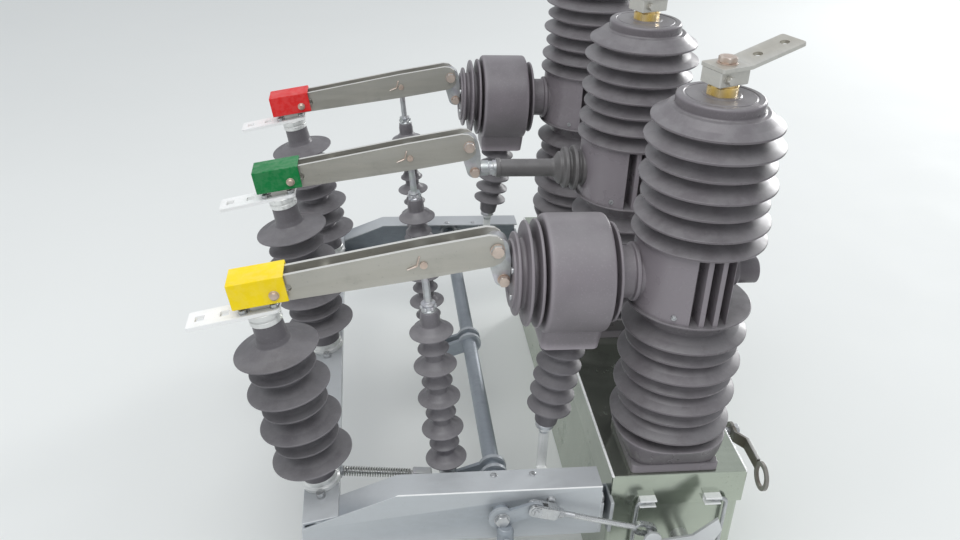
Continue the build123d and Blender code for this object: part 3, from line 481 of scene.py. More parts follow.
class Finish:
    """Builds one procedural finish in the object's own coordinates."""

    def __init__(self, name):
        self.material = bpy.data.materials.new(name)
        self.material.use_nodes = True
        self.tree = self.material.node_tree
        self.tree.nodes.clear()
        self.shader = self.tree.nodes.new("ShaderNodeBsdfPrincipled")
        output = self.tree.nodes.new("ShaderNodeOutputMaterial")
        self.tree.links.new(self.shader.outputs[0], output.inputs[0])
        coordinates = self.tree.nodes.new("ShaderNodeTexCoord")
        self.spot = coordinates.outputs["Object"]
        self.normal = coordinates.outputs["Normal"]

    def feed(self, socket, value):
        if isinstance(value, bpy.types.NodeSocket):
            self.tree.links.new(value, socket)
        elif isinstance(value, (tuple, list)) and len(value) == 3 and len(socket.default_value) == 4:
            socket.default_value = (*value, 1)
        else:
            socket.default_value = value

    def set(self, **values):
        for name, value in values.items():
            self.feed(self.shader.inputs[name.replace("_", " ").title()], value)

    def add(self, kind, inputs, **traits):
        """The outputs of a new node whose traits are set and whose inputs are fed."""
        node = self.tree.nodes.new("ShaderNode" + kind)
        for name, value in traits.items():
            setattr(node, name, value)
        for name, value in inputs.items():
            self.feed(node.inputs[name], value)
        return node.outputs

    def stretched(self, x, y, z):
        return self.add("Mapping", {"Vector": self.spot, "Scale": (x, y, z)})[0]

    def noise(self, scale, detail=4.0, rough=0.55, where=None):
        return self.add("TexNoise", {"Vector": where or self.spot, "Scale": scale, "Detail": detail,
                                     "Roughness": rough})["Fac"]

    def cells(self, scale):
        return self.add("TexVoronoi", {"Vector": self.spot, "Scale": scale})["Color"]

    def range(self, value, low, high, to_low=0.0, to_high=1.0):
        return self.add("MapRange", {"Value": value, "From Min": low, "From Max": high, "To Min": to_low,
                                     "To Max": to_high}, interpolation_type="SMOOTHSTEP")[0]

    def maths(self, kind, a, b):
        return self.add("Math", {0: a, 1: b}, operation=kind)[0]

    def times(self, a, b):
        return self.maths("MULTIPLY", a, b)

    def mix(self, part, first, second, kind="MIX"):
        return self.add("Mix", {"Factor": part, 6: first, 7: second}, data_type="RGBA", blend_type=kind)[2]

    def band(self, axis, middle, half):
        """1 within a thin band across one axis, in metres."""
        along = self.add("SeparateXYZ", {0: self.spot})["XYZ".index(axis)]
        away = self.maths("ABSOLUTE", self.maths("SUBTRACT", along, middle), 0.0)
        return self.range(away, half * 0.7, half, 1.0, 0.0)

    def facing_up(self, low, high):
        return self.range(self.add("SeparateXYZ", {0: self.normal})[2], low, high)

    def edges(self, low, high):
        return self.range(self.add("NewGeometry", {})["Pointiness"], low, high)

    def bump(self, height, strength, distance, under=None):
        inputs = {"Strength": strength, "Distance": distance, "Height": height}
        return self.add("Bump", inputs if under is None else {**inputs, "Normal": under})[0]


def scaled(colour, factor):
    return tuple(min(1.0, c * factor) for c in colour)


def cast_finish(name, colour, rough, dusty):
    """Moulded resin or silicone: cloudy, softly glossy, with dust where it faces up and a painted highlight on
    sharp rims.
    """
    made = Finish(name)
    dust = tuple(bpy.context.scene.breaker_casting.dust)
    cloud = made.range(made.noise(9, 3), 0.3, 0.7)
    speck = made.range(made.noise(420, 2), 0.56, 0.7)
    body = made.mix(cloud, scaled(colour, 0.86), scaled(colour, 1.14))
    body = made.mix(made.times(speck, 0.35), body, scaled(colour, 1.5))
    patches = made.range(made.noise(38, 6, 0.65), 0.36, 0.62, 0.45, 1.0)
    lying = made.times(made.times(made.facing_up(0.3, 0.95), patches), dusty)
    smear = made.range(made.noise(3.2, 5, 0.6, made.stretched(1, 1, 3.5)), 0.5, 0.68)
    body = made.mix(made.times(smear, 0.16), body, dust)
    # Sharp rims, such as the shed rims, are painted much lighter: a painted highlight.
    body = made.mix(made.times(made.edges(0.512, 0.57), 0.6), body, scaled(colour, 2.4))
    sheen = made.range(made.noise(26, 4), 0.3, 0.75, rough - 0.06, rough + 0.1)
    sheen = made.maths("ADD", sheen, made.times(lying, 0.22))
    pores = made.bump(made.noise(900, 3), 0.12, 0.0004)
    made.set(base_color=made.mix(lying, body, dust), roughness=sheen,
        normal=made.bump(made.noise(60, 3), 0.08, 0.0012, pores))
    return made.material


def sheet_finish(name, colour, metal, rough, brushed, edge_wear_and_highlight, grime, top=0.0, fold_highlights=(), marks=0.12):
    """Brushed, plated or painted sheet: brush marks along one axis, grime, edges brightened partly by wear and
    partly as a painted highlight, and upward faces and folds with a painted highlight.
    """
    made = Finish(name)
    lines = made.noise(170, 3, 0.6, made.stretched(*brushed))
    cloud = made.range(made.noise(6.5, 5, 0.6), 0.3, 0.72)
    base = made.mix(cloud, scaled(colour, 0.87), scaled(colour, 1.08))
    base = made.mix(made.range(lines, 0.4, 0.68, 0.0, 3.5 * marks), base, scaled(colour, 1.22))
    stain = made.range(made.noise(17, 7, 0.7), 0.56, 0.72)
    base = made.mix(made.times(stain, grime), base, scaled(colour, 0.62))
    specks = made.range(made.noise(240, 2), 0.66, 0.74)
    base = made.mix(made.times(specks, 0.4), base, scaled(colour, 0.55))
    # Sharp edges are painted near white: partly worn metal, partly a painted highlight.
    base = made.mix(made.times(made.edges(0.52, 0.58), edge_wear_and_highlight), base, shade(236, 238, 238))
    # Faces that look up are painted near white by this share: a painted highlight.
    if top:
        base = made.mix(made.times(made.facing_up(0.6, 0.9), top), base, shade(238, 238, 234))
    gloss = metal
    # Each fold gets a near-white line with less metal: a painted highlight.
    for first, second in fold_highlights:
        line = made.times(made.band(*first), made.band(*second))
        line = made.times(line, made.range(lines, 0.2, 0.5, 0.75, 1.0))
        base = made.mix(line, base, shade(252, 253, 252))
        gloss = made.times(gloss, made.maths("SUBTRACT", 1.0, line))
    sheen = made.range(lines, 0.3, 0.75, rough - 0.7 * marks, rough + 0.8 * marks)
    brush = made.bump(lines, marks, 0.0003)
    made.set(base_color=base, roughness=made.maths("ADD", sheen, made.times(stain, 0.16)), metallic=gloss,
        normal=made.bump(made.noise(22, 2), 0.05, 0.002, brush))
    return made.material


def plated_finish(name, colour, rough, metal, spangle=0.0):
    """Zinc, tin or brass on small parts: mottled, with fine scratches."""
    made = Finish(name)
    mottle = made.range(made.noise(70, 5, 0.6), 0.32, 0.7)
    base = made.mix(mottle, scaled(colour, 0.86), scaled(colour, 1.08))
    if spangle:
        base = made.mix(spangle, base, made.mix(0.8, made.cells(90), colour), "SOFT_LIGHT")
    dull = made.range(made.noise(28, 6, 0.7), 0.55, 0.75)
    base = made.mix(made.times(dull, 0.3), base, scaled(colour, 0.55))
    # Sharp edges are painted near white: partly worn plating, partly a painted highlight.
    base = made.mix(made.times(made.edges(0.53, 0.62), 0.5), base, shade(240, 240, 236))
    scratch = made.noise(150, 4, 0.6, made.stretched(1, 1, 0.12))
    made.set(base_color=base, roughness=made.range(scratch, 0.3, 0.8, rough - 0.04, rough + 0.14),
        metallic=metal, normal=made.bump(scratch, 0.05, 0.0002))
    return made.material


def cover_finish(name, colour):
    """Moulded plastic: a fine orange peel, scuffed edges and a little dust on top."""
    made = Finish(name)
    base = made.mix(made.range(made.noise(16, 4), 0.3, 0.7), scaled(colour, 0.93), scaled(colour, 1.04))
    scuff = made.times(made.edges(0.53, 0.62), made.range(made.noise(120, 4), 0.4, 0.6, 0.1, 0.55))
    base = made.mix(scuff, base, made.mix(0.55, colour, (0.9, 0.9, 0.88)))
    lying = made.times(made.facing_up(0.6, 1.0), made.range(made.noise(60, 5), 0.4, 0.7, 0.02, 0.16))
    base = made.mix(made.times(lying, 0.4), base, shade(226, 224, 214))
    made.shader.inputs["Specular IOR Level"].default_value = 0.2
    made.set(base_color=base, roughness=made.range(made.noise(45, 4), 0.3, 0.7, 0.3, 0.42),
        normal=made.bump(made.noise(520, 2), 0.1, 0.0004))
    return made.material


def floor_finish(colour):
    """Painted workshop floor, pale and almost plain."""
    made = Finish("Pale floor")
    cloud = made.range(made.noise(0.8, 5, 0.6), 0.25, 0.75)
    made.set(base_color=made.mix(cloud, scaled(colour, 0.985), scaled(colour, 1.01)),
             roughness=made.range(made.noise(3, 3), 0.3, 0.7, 0.7, 0.8))
    made.shader.inputs["Specular IOR Level"].default_value = 0.2
    return made.material


# Where the sheet is folded, a near-white line is painted along the fold: a painted highlight
LID_FOLD_HIGHLIGHTS = [(("X", x * MM, 0.0034), ("Z", BOX_TOP * MM, 0.0028)) for x in (BOX_LEFT, BOX_RIGHT)]
BEAM_FOLD_HIGHLIGHTS = [(("Y", y * MM, 0.0014), ("Z", BEAM_TOP * MM, 0.0018)) for y in (-BEAM_FACE, BEAM_FACE)]

# Each finish: its material slot, its maker, its name, the setting or the screen values of its
# colour, a factor on that colour, and the rest of what the maker takes.
LOOKS = {
    "epoxy": ("epoxy", cast_finish, "Cast epoxy", "casting.epoxy", 1, 0.3, 0.5),
    # The transformers are the pole epoxy lightened 1.5 times: painted light, not a different resin.
    "transformer": ("epoxy", cast_finish, "Transformer epoxy", "casting.epoxy", 1.5, 0.42, 0.4),
    "silicone": ("epoxy", cast_finish, "Silicone rubber", "casting.silicone", 1, 0.44, 0.4),
    "drive silicone": (
        "epoxy_light", cast_finish, "Drive insulator rubber", "casting.silicone", 1.12, 0.34, 0.5),
    "arm": ("arm_green", cast_finish, "Plain arm resin", "casting.arm", 1, 0.4, 0.3),
    "box": (
        "paint", sheet_finish, "Polished box sheet", "metal.box", 1,
        0.85, 0.25, (1, 1, 0.04), 0.0, 0.1, 0, (), 0.025),
    "lid": (
        "paint", sheet_finish, "Polished lid sheet", "metal.box", 1,
        0.92, 0.17, (0.06, 1, 1), 0.0, 0.12, 0, LID_FOLD_HIGHLIGHTS, 0.03),
    "beam": (
        "paint", sheet_finish, "Silver beam paint", "metal.beam", 1,
        0.3, 0.44, (0.35, 1, 1), 0.55, 0.25, 0, BEAM_FOLD_HIGHLIGHTS),
    "bracket": (
        "paint", sheet_finish, "Bracket paint", "metal.beam", 0.72, 0.3, 0.5, (1, 1, 0.3), 0.5, 0.4),
    # The blades pass an upward-face share of 0.75: their top faces get a painted highlight.
    "blade": (
        "copper", sheet_finish, "Tin-plated blade", "metal.plate", 1,
        0.6, 0.38, (0.05, 1, 0.6), 0.5, 0.3, 0.75),
    "terminal": (
        "terminal", sheet_finish, "Tin-plated terminal", "metal.plate", 1.25, 0.5, 0.36, (1, 0.3, 1), 0.4, 0.3),
    # The load pads are given near white and no metal: a painted highlight on tin plate.
    "pad": ("terminal", sheet_finish, "Bright load pad", "metal.pad", 1, 0.0, 0.42, (0.2, 1, 1), 0.3, 0.1),
    "lever": ("zinc", sheet_finish, "Zinc-plated bar", "metal.zinc", 1, 0.6, 0.36, (0.1, 1, 0.3), 0.6, 0.3),
    "strip": ("zinc", sheet_finish, "Bright strip", (236, 238, 236), 1, 0.2, 0.4, (1, 1, 0.1), 0.4, 0.12),
    "ring": ("zinc", sheet_finish, "Worn ring lever", (104, 98, 88), 1, 0.5, 0.42, (1, 0.3, 1), 0.5, 0.4),
    "cap": (
        "terminal", sheet_finish, "Turned aluminium", (232, 233, 231), 1,
        0.5, 0.3, (1, 1, 0.1), 0.3, 0.1, 0, (), 0.03),
    "bolt": ("zinc", plated_finish, "Yellow-passivated bolt", (206, 186, 172), 1, 0.32, 0.7),
    "zinc": ("zinc", plated_finish, "Zinc-plated fastener", "metal.zinc", 1, 0.3, 0.8),
    "ferrule": ("zinc", plated_finish, "Cast end fitting", "metal.zinc", 1.05, 0.34, 0.75, 0.3),
    "steel": ("zinc", plated_finish, "Bright steel rod", "metal.zinc", 1, 0.26, 0.85),
    "spring": ("zinc", plated_finish, "Spring steel", (150, 152, 148), 1, 0.3, 0.85),
    "brass": ("brass", plated_finish, "Machined brass", "metal.brass", 1, 0.3, 0.55),
    "cover a": ("phase_yellow", cover_finish, "Yellow cover", "phases.near", 1),
    "cover b": ("phase_green", cover_finish, "Green cover", "phases.middle", 1),
    "cover c": ("phase_red", cover_finish, "Red cover", "phases.far", 1),
}
finishes = {}


def finish(name):
    """The finish of that name, made when it is first asked for."""
    if name not in finishes:
        maker, title, colour, factor, *rest = LOOKS[name][1:]
        if isinstance(colour, str):
            group, field = colour.split(".")
            colour = getattr(getattr(bpy.context.scene, "breaker_" + group), field)
        else:
            colour = shade(*colour)
        finishes[name] = maker(title, scaled(colour, factor), *rest)
    return finishes[name]


# Pieces


class MakePoleColumns(bpy.types.Operator):
    """Pole columns: flared foot, two stacks of sheds, ribbed housing and cap"""

    bl_idname = "breaker.pole_columns"
    bl_label = "Pole columns"

    def execute(self, context):
        rim = context.scene.breaker_casting.rim / MM
        base = upright(0, 0, POLE_BASE)
        belt, upper, cap = BELT, UPPER_SHEDS, CAP_TOP
        shape = bmesh.new()
        foot = ((0, 61.4, 24), (0.8, 62, 24), (12.2, 62, 24), (13.4, 61.2, 24), (13.7, 60.4, 6),
            (14.6, 60.8, 6), (16.2, 62.2, 5.6), (22, 65, 4.8), (30, 69.2, 3.9), (38, 73.6, 3.1),
            (43.5, 76.8, 2.6), (45.8, 77.8, 2.5), (47, 76, 2.5), (47.2, 64, 2.2))
        stacked(shape, [(height, squircle(half, power)) for height, half, power in foot], base)
        outline = [(0, 40), (61, 40), (61, 46.5, 3)]
        outline += sheds(61, 62.3, 24.1, [82.8 if i % 2 == 0 else 75.0 for i in range(7)], 17, 3, rim)
        outline += [(61, belt + 3, 2), (82.8, belt, rim), (82.8, belt + 3, rim), (58, belt + 4, 3),
            (36, belt + 3.5), (36, upper + 3)]
        upper_sheds = sheds(61, upper, 24.8, [80.4 if i in (2, 4, 6) else 85.7 for i in range(7)], 17, 3, rim)
        outline += upper_sheds[1:]
        outline += [(55, cap - 14.4, 2), (53.7, cap - 12.5, 2), (53.7, cap, 6), (45, cap, 1),
            (44, cap - 0.9, 1), (42.6, cap - 0.9, 1), (41.6, cap, 1), (24, cap + 0.3, 2), (22.6, cap + 1.4, 1),
            (0, cap + 1.4)]
        turned(shape, outline, base, 96, 4)

        reach, core, fin = 78.5, 53.0, 27.0

        def plan(slots):
            half = [(core * cos(a), core * sin(a)) for a in (acos(fin / core) * i / 8 for i in range(9))]
            half.append((fin, sqrt(reach * reach - fin * fin)))
            for middle in slots:
                for x in (middle + 5.8, middle - 5.8):
                    edge = [(x, sqrt(reach * reach - x * x)), (x, 50.0)]
                    half += edge if x > middle else reversed(edge)
            last = atan2(half[-1][1], half[-1][0])
            turns = (last + (pi - last) * i / 16 for i in range(1, 17))
            half += [(reach * cos(a), reach * sin(a)) for a in turns]
            return half + [(x, -y) for x, y in reversed(half[1:-1])]

        for low, high, slots in ((belt + 2.6, upper - 3, (20.4, 2.2, -16.0)), (upper - 3.2, upper + 4, ())):
            sheet(shape, [plan(slots)], base, low, high, 0.9 if slots else 0, True)
        plug = across_row(0, 0, ARM_HEIGHT, 1)
        turned(shape, [(0, 48), (21, 48, 1), (21, 56, 3), (18, 59, 2), (18, 85.5, 1.6), (12.5, 85.5, 0.8),
            (12.5, 78, 1), (0, 78)], plug, 40)
        socket = across_row(0, 0, ARM_HEIGHT, -1)
        turned(shape, [(0, 50), (43, 50), (43, 58, 3), (36, 60.5, 2), (0, 60.5)], socket, 56)
        keep_on_phases("pole_casting", shape, "epoxy", "pole_column")
        screws = bmesh.new()
        spot = facing_near(-40, -sqrt(reach * reach - 1600) - 0.3, POLE_BASE + belt + 12)
        washer(screws, spot, 3.8, -2, 0.9)
        turned(screws, [(0, 0.8), (3, 0.8), (3, 2.6, 1), (1.8, 2.6), (1.5, 1.6), (0, 1.6)], spot, 20, 2)
        keep_on_phases("housing_screws", screws, "zinc")
        return {"FINISHED"}


class MakeTopTerminals(bpy.types.Operator):
    """Top terminals: brass stud, clamp block and the drilled bar that rises from it"""

    bl_idname = "breaker.top_terminals"
    bl_label = "Top terminals"

    def execute(self, context):
        top = POLE_BASE + CAP_TOP
        cap = upright(0, 0, top)
        shape = bmesh.new()
        hexagon(shape, cap, 34, 0, 12.5, 1.4)
        turned(shape, [(0, 12), (15, 12), (15, 15, 0.6), (8, 15), (8, 34), (0, 34)], cap, 36, 2)
        keep_on_phases("brass_stud", shape, "brass", "terminal_stud")

        turn, rise = radians(24), radians(13)
        along = Vector((cos(turn), sin(turn), 0))
        clamp = place((0, 0, top + 15), along, (0, 0, 1))
        block = bmesh.new()
        sheet(block, [rounded([(-23, -17, 2), (23, -17, 2), (23, 17, 2), (-23, 17, 2)], 3, True), circle(8.05)],
            clamp, 0, 18, 0.8)
        bolt(block, place(clamp @ Vector((-11, -17, 9)), along, clamp.to_3x3() @ Vector((0, -1, 0))), 9, 4)
        bar = moved(clamp, 0, 0, 18)
        plate = bmesh.new()
        sheet(plate, [rounded([(-23, -20, 3), (22.4, -20), (22.4, 20), (-23, 20, 3)], 4, True), circle(8.1)],
            bar, 0, 5, 0.6)
        tilted = along * cos(rise) + Vector((0, 0, sin(rise)))
        upper = place(bar @ Vector((22.0, 0, -0.1)), tilted, bar.to_3x3() @ Vector((-sin(rise), 0, cos(rise))))
        holes = [circle(5.8, 27, 0, 28), circle(5.8, 70, 0, 28)]
        tongue = rounded([(0, -20), (86.6, -20, 4), (86.6, 20, 4), (0, 20)], 5, True)
        sheet(plate, [tongue] + holes, upper, 0, 5, 0.6)
        joined(block, plate)
        keep_on_phases("top_bar", block, "terminal", "top_terminal")
        nut = bmesh.new()
        seat = moved(bar, 0, 0, 5)
        washer(nut, seat, 12.5, 0, 1.4)
        hexagon(nut, seat, 20, 1.4, 8.4, 1.2)
        turned(nut, [(0, 44), (7, 44), (7, 46.4, 1), (0, 46.8)], cap, 24, 2)
        keep_on_phases("top_nut", nut, "bolt")
        return {"FINISHED"}


class MakeTransformers(bpy.types.Operator):
    """Current transformers on the outer phases and the plain conductor arm between them"""

    bl_idname = "breaker.transformers"
    bl_label = "Transformers and arm"

    def execute(self, context):
        arm = across_row(0, 0, ARM_HEIGHT, -1)
        outline = [(0, 56), (34, 56)]
        for start in (62, 77):
            outline += [(34, start - 0.6, 2), (38.5, start + 0.6, 1.6), (38.5, start + 5.4, 1.6),
                (34, start + 6.6, 2)]
        outline += [(34, 105.6, 4), (65, 106.9, 1.7), (65, 110.6, 1.7), (44, 112.2, 3), (44, 117.6, 2),
            (60, 118.6, 2), (76.6, 118.6, 7), (77.0, 128, 20), (76.9, 190, 20), (76.6, 200, 7), (60, 200, 2),
            (44, 201.5, 2)]
        for index, radius in enumerate((70, 68, 54)):
            start = 204.5 + index * 13.5
            outline += [(44, start - 1.0, 3), (radius, start + 0.5, 1.7), (radius, start + 4.2, 1.7),
                (44, start + 5.6, 3)]
        outline += [(44, 240, 4), (30, 240, 1), (29, 238.6, 1), (18, 238.6, 1), (0, 238.6)]
        shape = bmesh.new()
        turned(shape, outline, arm, 96, 4)
        foot = upright(TAIL_X, 0, ARM_HEIGHT)
        lofted(shape, [(-TAIL_DROP, 36, 32, 8), (-96, 38, 34, 9), (-84, 39.2, 35.5, 9), (-66, 39.8, 40, 8),
            (-52, 40, 48, 6), (-38, 40, 56, 4)], foot, 6)
        # The transformer casting takes the lightened epoxy: painted light.
        keep_on_phases("transformer_casting", shape, "transformer", "current_transformer", phases="ac")
        screws = bmesh.new()
        for angle in (35, 145, 215, 325):
            spot = moved(arm, 33 * cos(radians(angle)), 33 * sin(radians(angle)), 240)
            hexagon(screws, spot, 8, -1, 2.2, 0.6)
        for side in (-1, 1):
            seat = upright(TAIL_X + side * 27, 0, ARM_HEIGHT - TAIL_DROP, -1)
            washer(screws, seat, 7, -0.2, 1.2)
            hexagon(screws, seat, 11, 1.2, 6.2)
        keep_on_phases("transformer_screws", screws, "zinc", phases="ac")

        outline = [(0, 56), (26, 56)]
        for index, radius in enumerate((30, 36, 33)):
            start = 72 + index * 14
            outline += [(26, start - 1, 2), (radius, start + 0.6, 2), (radius - 0.6, start + 6.2, 2),
                (26, start + 9, 3)]
        outline += [(26, 114, 3), (15, 122, 4), (14, 126, 4), (14, 208, 1), (15.5, 208, 1), (15.5, 214, 1),
            (11, 214.5, 1)]
        shape = bmesh.new()
        turned(shape, outline + [(11, 216), (0, 216)], arm, 72, 4)
        keep_on_phases("plain_arm", shape, "arm", "conductor_arm", phases="b")
        shape = bmesh.new()
        turned(shape, [(0, 213), (12.6, 213, 0.5), (12.6, 219, 0.5), (11, 220, 0.5), (11, 226, 0.4),
            (12, 227, 0.4), (12, 239.6, 0.8), (0, 240)], arm, 40, 2)
        bolt(shape, facing_near(-222, -10.6, ARM_HEIGHT), 9, 4)
        keep_on_phases("arm_ferrule", shape, "ferrule", phases="b")
        return {"FINISHED"}


class MakeSupportInsulators(bpy.types.Operator):
    """Support insulators under the transformers, with their strip legs"""

    bl_idname = "breaker.support_insulators"
    bl_label = "Support insulators"

    def execute(self, context):
        low, high = POLE_BASE + 41.0, ARM_HEIGHT - TAIL_DROP
        shift = SUPPORT_TOP_X - SUPPORT_X
        length = hypot(shift, high - low)
        base = leaning(SUPPORT_X, 0, low, degrees(atan2(-shift, high - low)))
        outline = [(0, 6), (13, 6), (15.5, 9, 2), (17, 22, 4)]
        outline += sheds(17, 34, 24, [31] * 5, 13, 2.5, 1.1)
        outline += [(17, length - 2), (0, length - 2)]
        shape = bmesh.new()
        turned(shape, outline, base, 56, 4)
        keep_on_phases("support_rubber", shape, "silicone", "support_insulator", phases="ac")
        shape = bmesh.new()
        foot = upright(SUPPORT_X, 0, low)
        turned(shape, [(0, 0), (13, 0, 0.6), (13, 5, 1), (12, 6, 0.5), (12, 11, 0.6), (0, 11)], foot, 40, 2)
        hexagon(shape, upright(SUPPORT_X, 0, low - 4, -1), 13, 0.2, 6.5)
        cap = upright(SUPPORT_TOP_X, 0, high, -1)
        turned(shape, [(0, -0.3), (20, -0.3, 0.4), (20, 3.2, 0.8), (0, 3.2)], cap, 40, 2)
        keep_on_phases("support_fittings", shape, "ferrule", phases="ac")
        for phase in "ac":
            outward = -1 if phase == "a" else 1
            leg = eased("support_leg_" + phase, 0.7)
            keep("strip_leg_" + phase, leg, "strip", "support_leg_" + phase)
            screws = bmesh.new()
            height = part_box("support_leg_" + phase)[0].z * 1000 + 13
            spot = along_row(SUPPORT_X, outward * (BEAM_FACE - 7), height, -outward)
            bolt(screws, spot, 10, 4.5)
            outside = along_row(SUPPORT_X, outward * BEAM_FACE, height, outward)
            washer(screws, outside, 6.5, 0, 1.3)
            turned(screws, [(0, 1.2), (5.6, 1.2), (5.6, 3, 1), (3.4, 4.6, 1.5), (0, 4.8)], outside, 24)
            keep("leg_bolts_" + phase, screws, "zinc")
        return {"FINISHED"}


class MakePostInsulators(bpy.types.Operator):
    """Tilted post insulators with their metal ends and the load terminals on them"""

    bl_idname = "breaker.post_insulators"
    bl_label = "Post insulators"

    def execute(self, context):
        length = POST_LENGTH
        base = leaning(POST_FOOT_X, 0, POST_FOOT_Z, POST_TILT)
        outline = [(0, 11), (24, 11, 1), (24, 22, 4), (23, 30, 6)]
        outline += sheds(23, 50.5, 29.75, [56 if i % 2 == 0 else 45 for i in range(7)], 13.5, 2.2, 1.1, 0.34)
        outline += [(20.8, 250, 6), (20, length - 22, 3), (20, length - 15, 1), (0, length - 15)]
        shape = bmesh.new()
        turned(shape, outline, base, 72, 4)
        keep_on_phases("post_rubber", shape, "silicone", "post_insulator")
        shape = bmesh.new()
        turned(shape, [(0, 0), (27, 0, 0.8), (27, 6, 1.2), (24.6, 8, 1), (24.6, 13, 1), (25.4, 14.5, 1),
            (24.4, 16, 1), (0, 16)], base, 56)
        turned(shape, [(0, length - 17), (21.2, length - 17, 0.8), (21.2, length - 10.5, 0.8),
            (19.6, length - 9.6, 0.4), (19.6, length - 8, 0.4), (21.6, length - 7.2, 0.8), (21.6, length, 0.8),
            (0, length)], base, 56)
        keep_on_phases("post_fittings", shape, "cap")

        top = moved(base, 0, 0, length)
        shape = bmesh.new()
        bore = ((-6, -6), (6, -6), (6, 6), (-6, 6))
        holes = [rounded([(x + shift, y, 1.0) for x, y in bore], 2, True) for shift in (-79, -47)]
        pad = rounded([(-95, -19, 3), (24, -19, 6), (24, 19, 6), (-95, 19, 3)], 4, True)
        sheet(shape, [pad] + holes, top, 0, 5, 0.7)
        keep_on_phases("load_pad", shape, "pad", "load_terminal")
        shape = bmesh.new()
        jaw = place(top @ Vector((0, 10.4, 5)), top.to_3x3() @ Vector((1, 0, 0)),
            top.to_3x3() @ Vector((0, -1, 0)))
        finger = rounded([(-13, 0), (13, 0), (13, 20, 5), (8, 28, 5), (-8, 28, 5), (-13, 20, 5)], 4, True)
        sheet(shape, [finger], jaw, 0, 20.8, 0.8)
        keep_on_phases("fixed_contact", shape, "blade")
        shape = bmesh.new()
        for x, y in ((-22, -10.5), (-22, 10.5), (17.5, -11), (17.5, 11)):
            seat = moved(top, x, y, 5)
            washer(shape, seat, 5.6, 0, 1.2)
            hexagon(shape, seat, 9.5, 1.2, 5.6)
        keep_on_phases("pad_bolts", shape, "zinc")
        shape = bmesh.new()
        for side in (-1, 1):
            spot = moved(base, 0, side * 33, 0)
            bolt(shape, spot, 11, 5)
        keep_on_phases("post_foot_bolts", shape, "zinc")
        return {"FINISHED"}


class MakeBlades(bpy.types.Operator):
    """Hinge contacts, two-plate blades and coloured covers"""

    bl_idname = "breaker.blades"
    bl_label = "Switch blades"

    def execute(self, context):
        keep_on_phases("hinge_lug", eased("hinge_contact_b", 0.5), "ferrule", "hinge_contact")
        hinge = bmesh.new()
        for side in (-1, 1):
            spot = along_row(HINGE.x, side * 16.0, HINGE.z, side)
            washer(hinge, spot, 9.4, -0.4, 0.9)
            hexagon(hinge, spot, 15, 0.9, 6.9, 1.1)
            lower = along_row(HINGE_BOLT_X, side * 10.5, HINGE_BOLT_Z, side)
            bolt(hinge, lower, 13, 6)
        thread(hinge, along_row(HINGE.x, 16, HINGE.z, 1), 5, 6, 11)
        thread(hinge, along_row(HINGE_BOLT_X, 10.5, HINGE_BOLT_Z, 1), 4, 8, 14)
        keep_on_phases("hinge_bolts", hinge, "bolt")

        edge = [(-9, 12, 4), (-2, 19, 4), (8, 22, 6), (93, 22, 60), (262, 18, 40), (322, 18, 2)]
        outline = rounded(edge + [(x, -y, r) for x, y, r in reversed(edge)], 4, True)
        shape = bmesh.new()
        for side in (-1, 1):
            near = facing_near(HINGE.x, side * 11.0, HINGE.z, 180 + BLADE_SLOPE)
            span = (-1.2, 4) if side < 0 else (-4, 1.2)
            sheet(shape, [outline, circle(6.05, 0, 0, 28), circle(4.6, 262, 0, 20)], near, *span, 0.6)
        middle = facing_near(HINGE.x, 0, HINGE.z, 180 + BLADE_SLOPE)
        for reach, radius in ((215, 8), (52, 7)):
            spacer = moved(middle, reach, 0, 0)
            turned(shape, [(0, -11.5), (radius, -11.5), (radius, 11.5), (0, 11.5)], spacer, 28)
        keep_on_phases("blade_plates", shape, "blade", "switch_blade", body="blade_*")

        shape = bmesh.new()
        pin = moved(middle, DRIVE_PIN_REACH, DRIVE_PIN_DROP, 0)
        turned(shape, [(0, -19), (5, -19, 0.8), (5, 17.4, 0.8), (0, 17.4)], pin, 28, 2)
        washer(shape, pin @ Matrix.Rotation(pi, 4, "X"), 8.2, 15.05, 16.4)
        clip = ((-370.6, -16.6, 533), (-358.4, -16.6, 538.4), (-356, -16.6, 550.2), (-354.6, -12, 551.6))
        rod(shape, eased_path([Vector(p) for p in clip], 2.5), 1.1, 10, 0.3)
        across = moved(middle, 279, 3, 0)
        for half_turn in (0, pi):
            turned(shape, [(0, 22), (6.6, 22, 0.5), (6.6, 23.3, 0.5), (5.6, 23.3, 0.4), (5.6, 25.8, 1.2),
                (3.6, 27.2, 1), (0, 27.4)], across @ Matrix.Rotation(half_turn, 4, "X"), 24)
        turned(shape, [(0, -22), (4.4, -22), (4.4, 22), (0, 22)], across, 20)
        keep_on_phases("blade_bolts", shape, "bolt", body="blade_*")

        for phase in PHASES:
            cover = eased("contact_cover_" + phase, 1.25, 30, 3)
            keep("cover_shell_" + phase, cover, "cover " + phase, "contact_cover_" + phase,
                body="blade_" + phase)
        return {"FINISHED"}


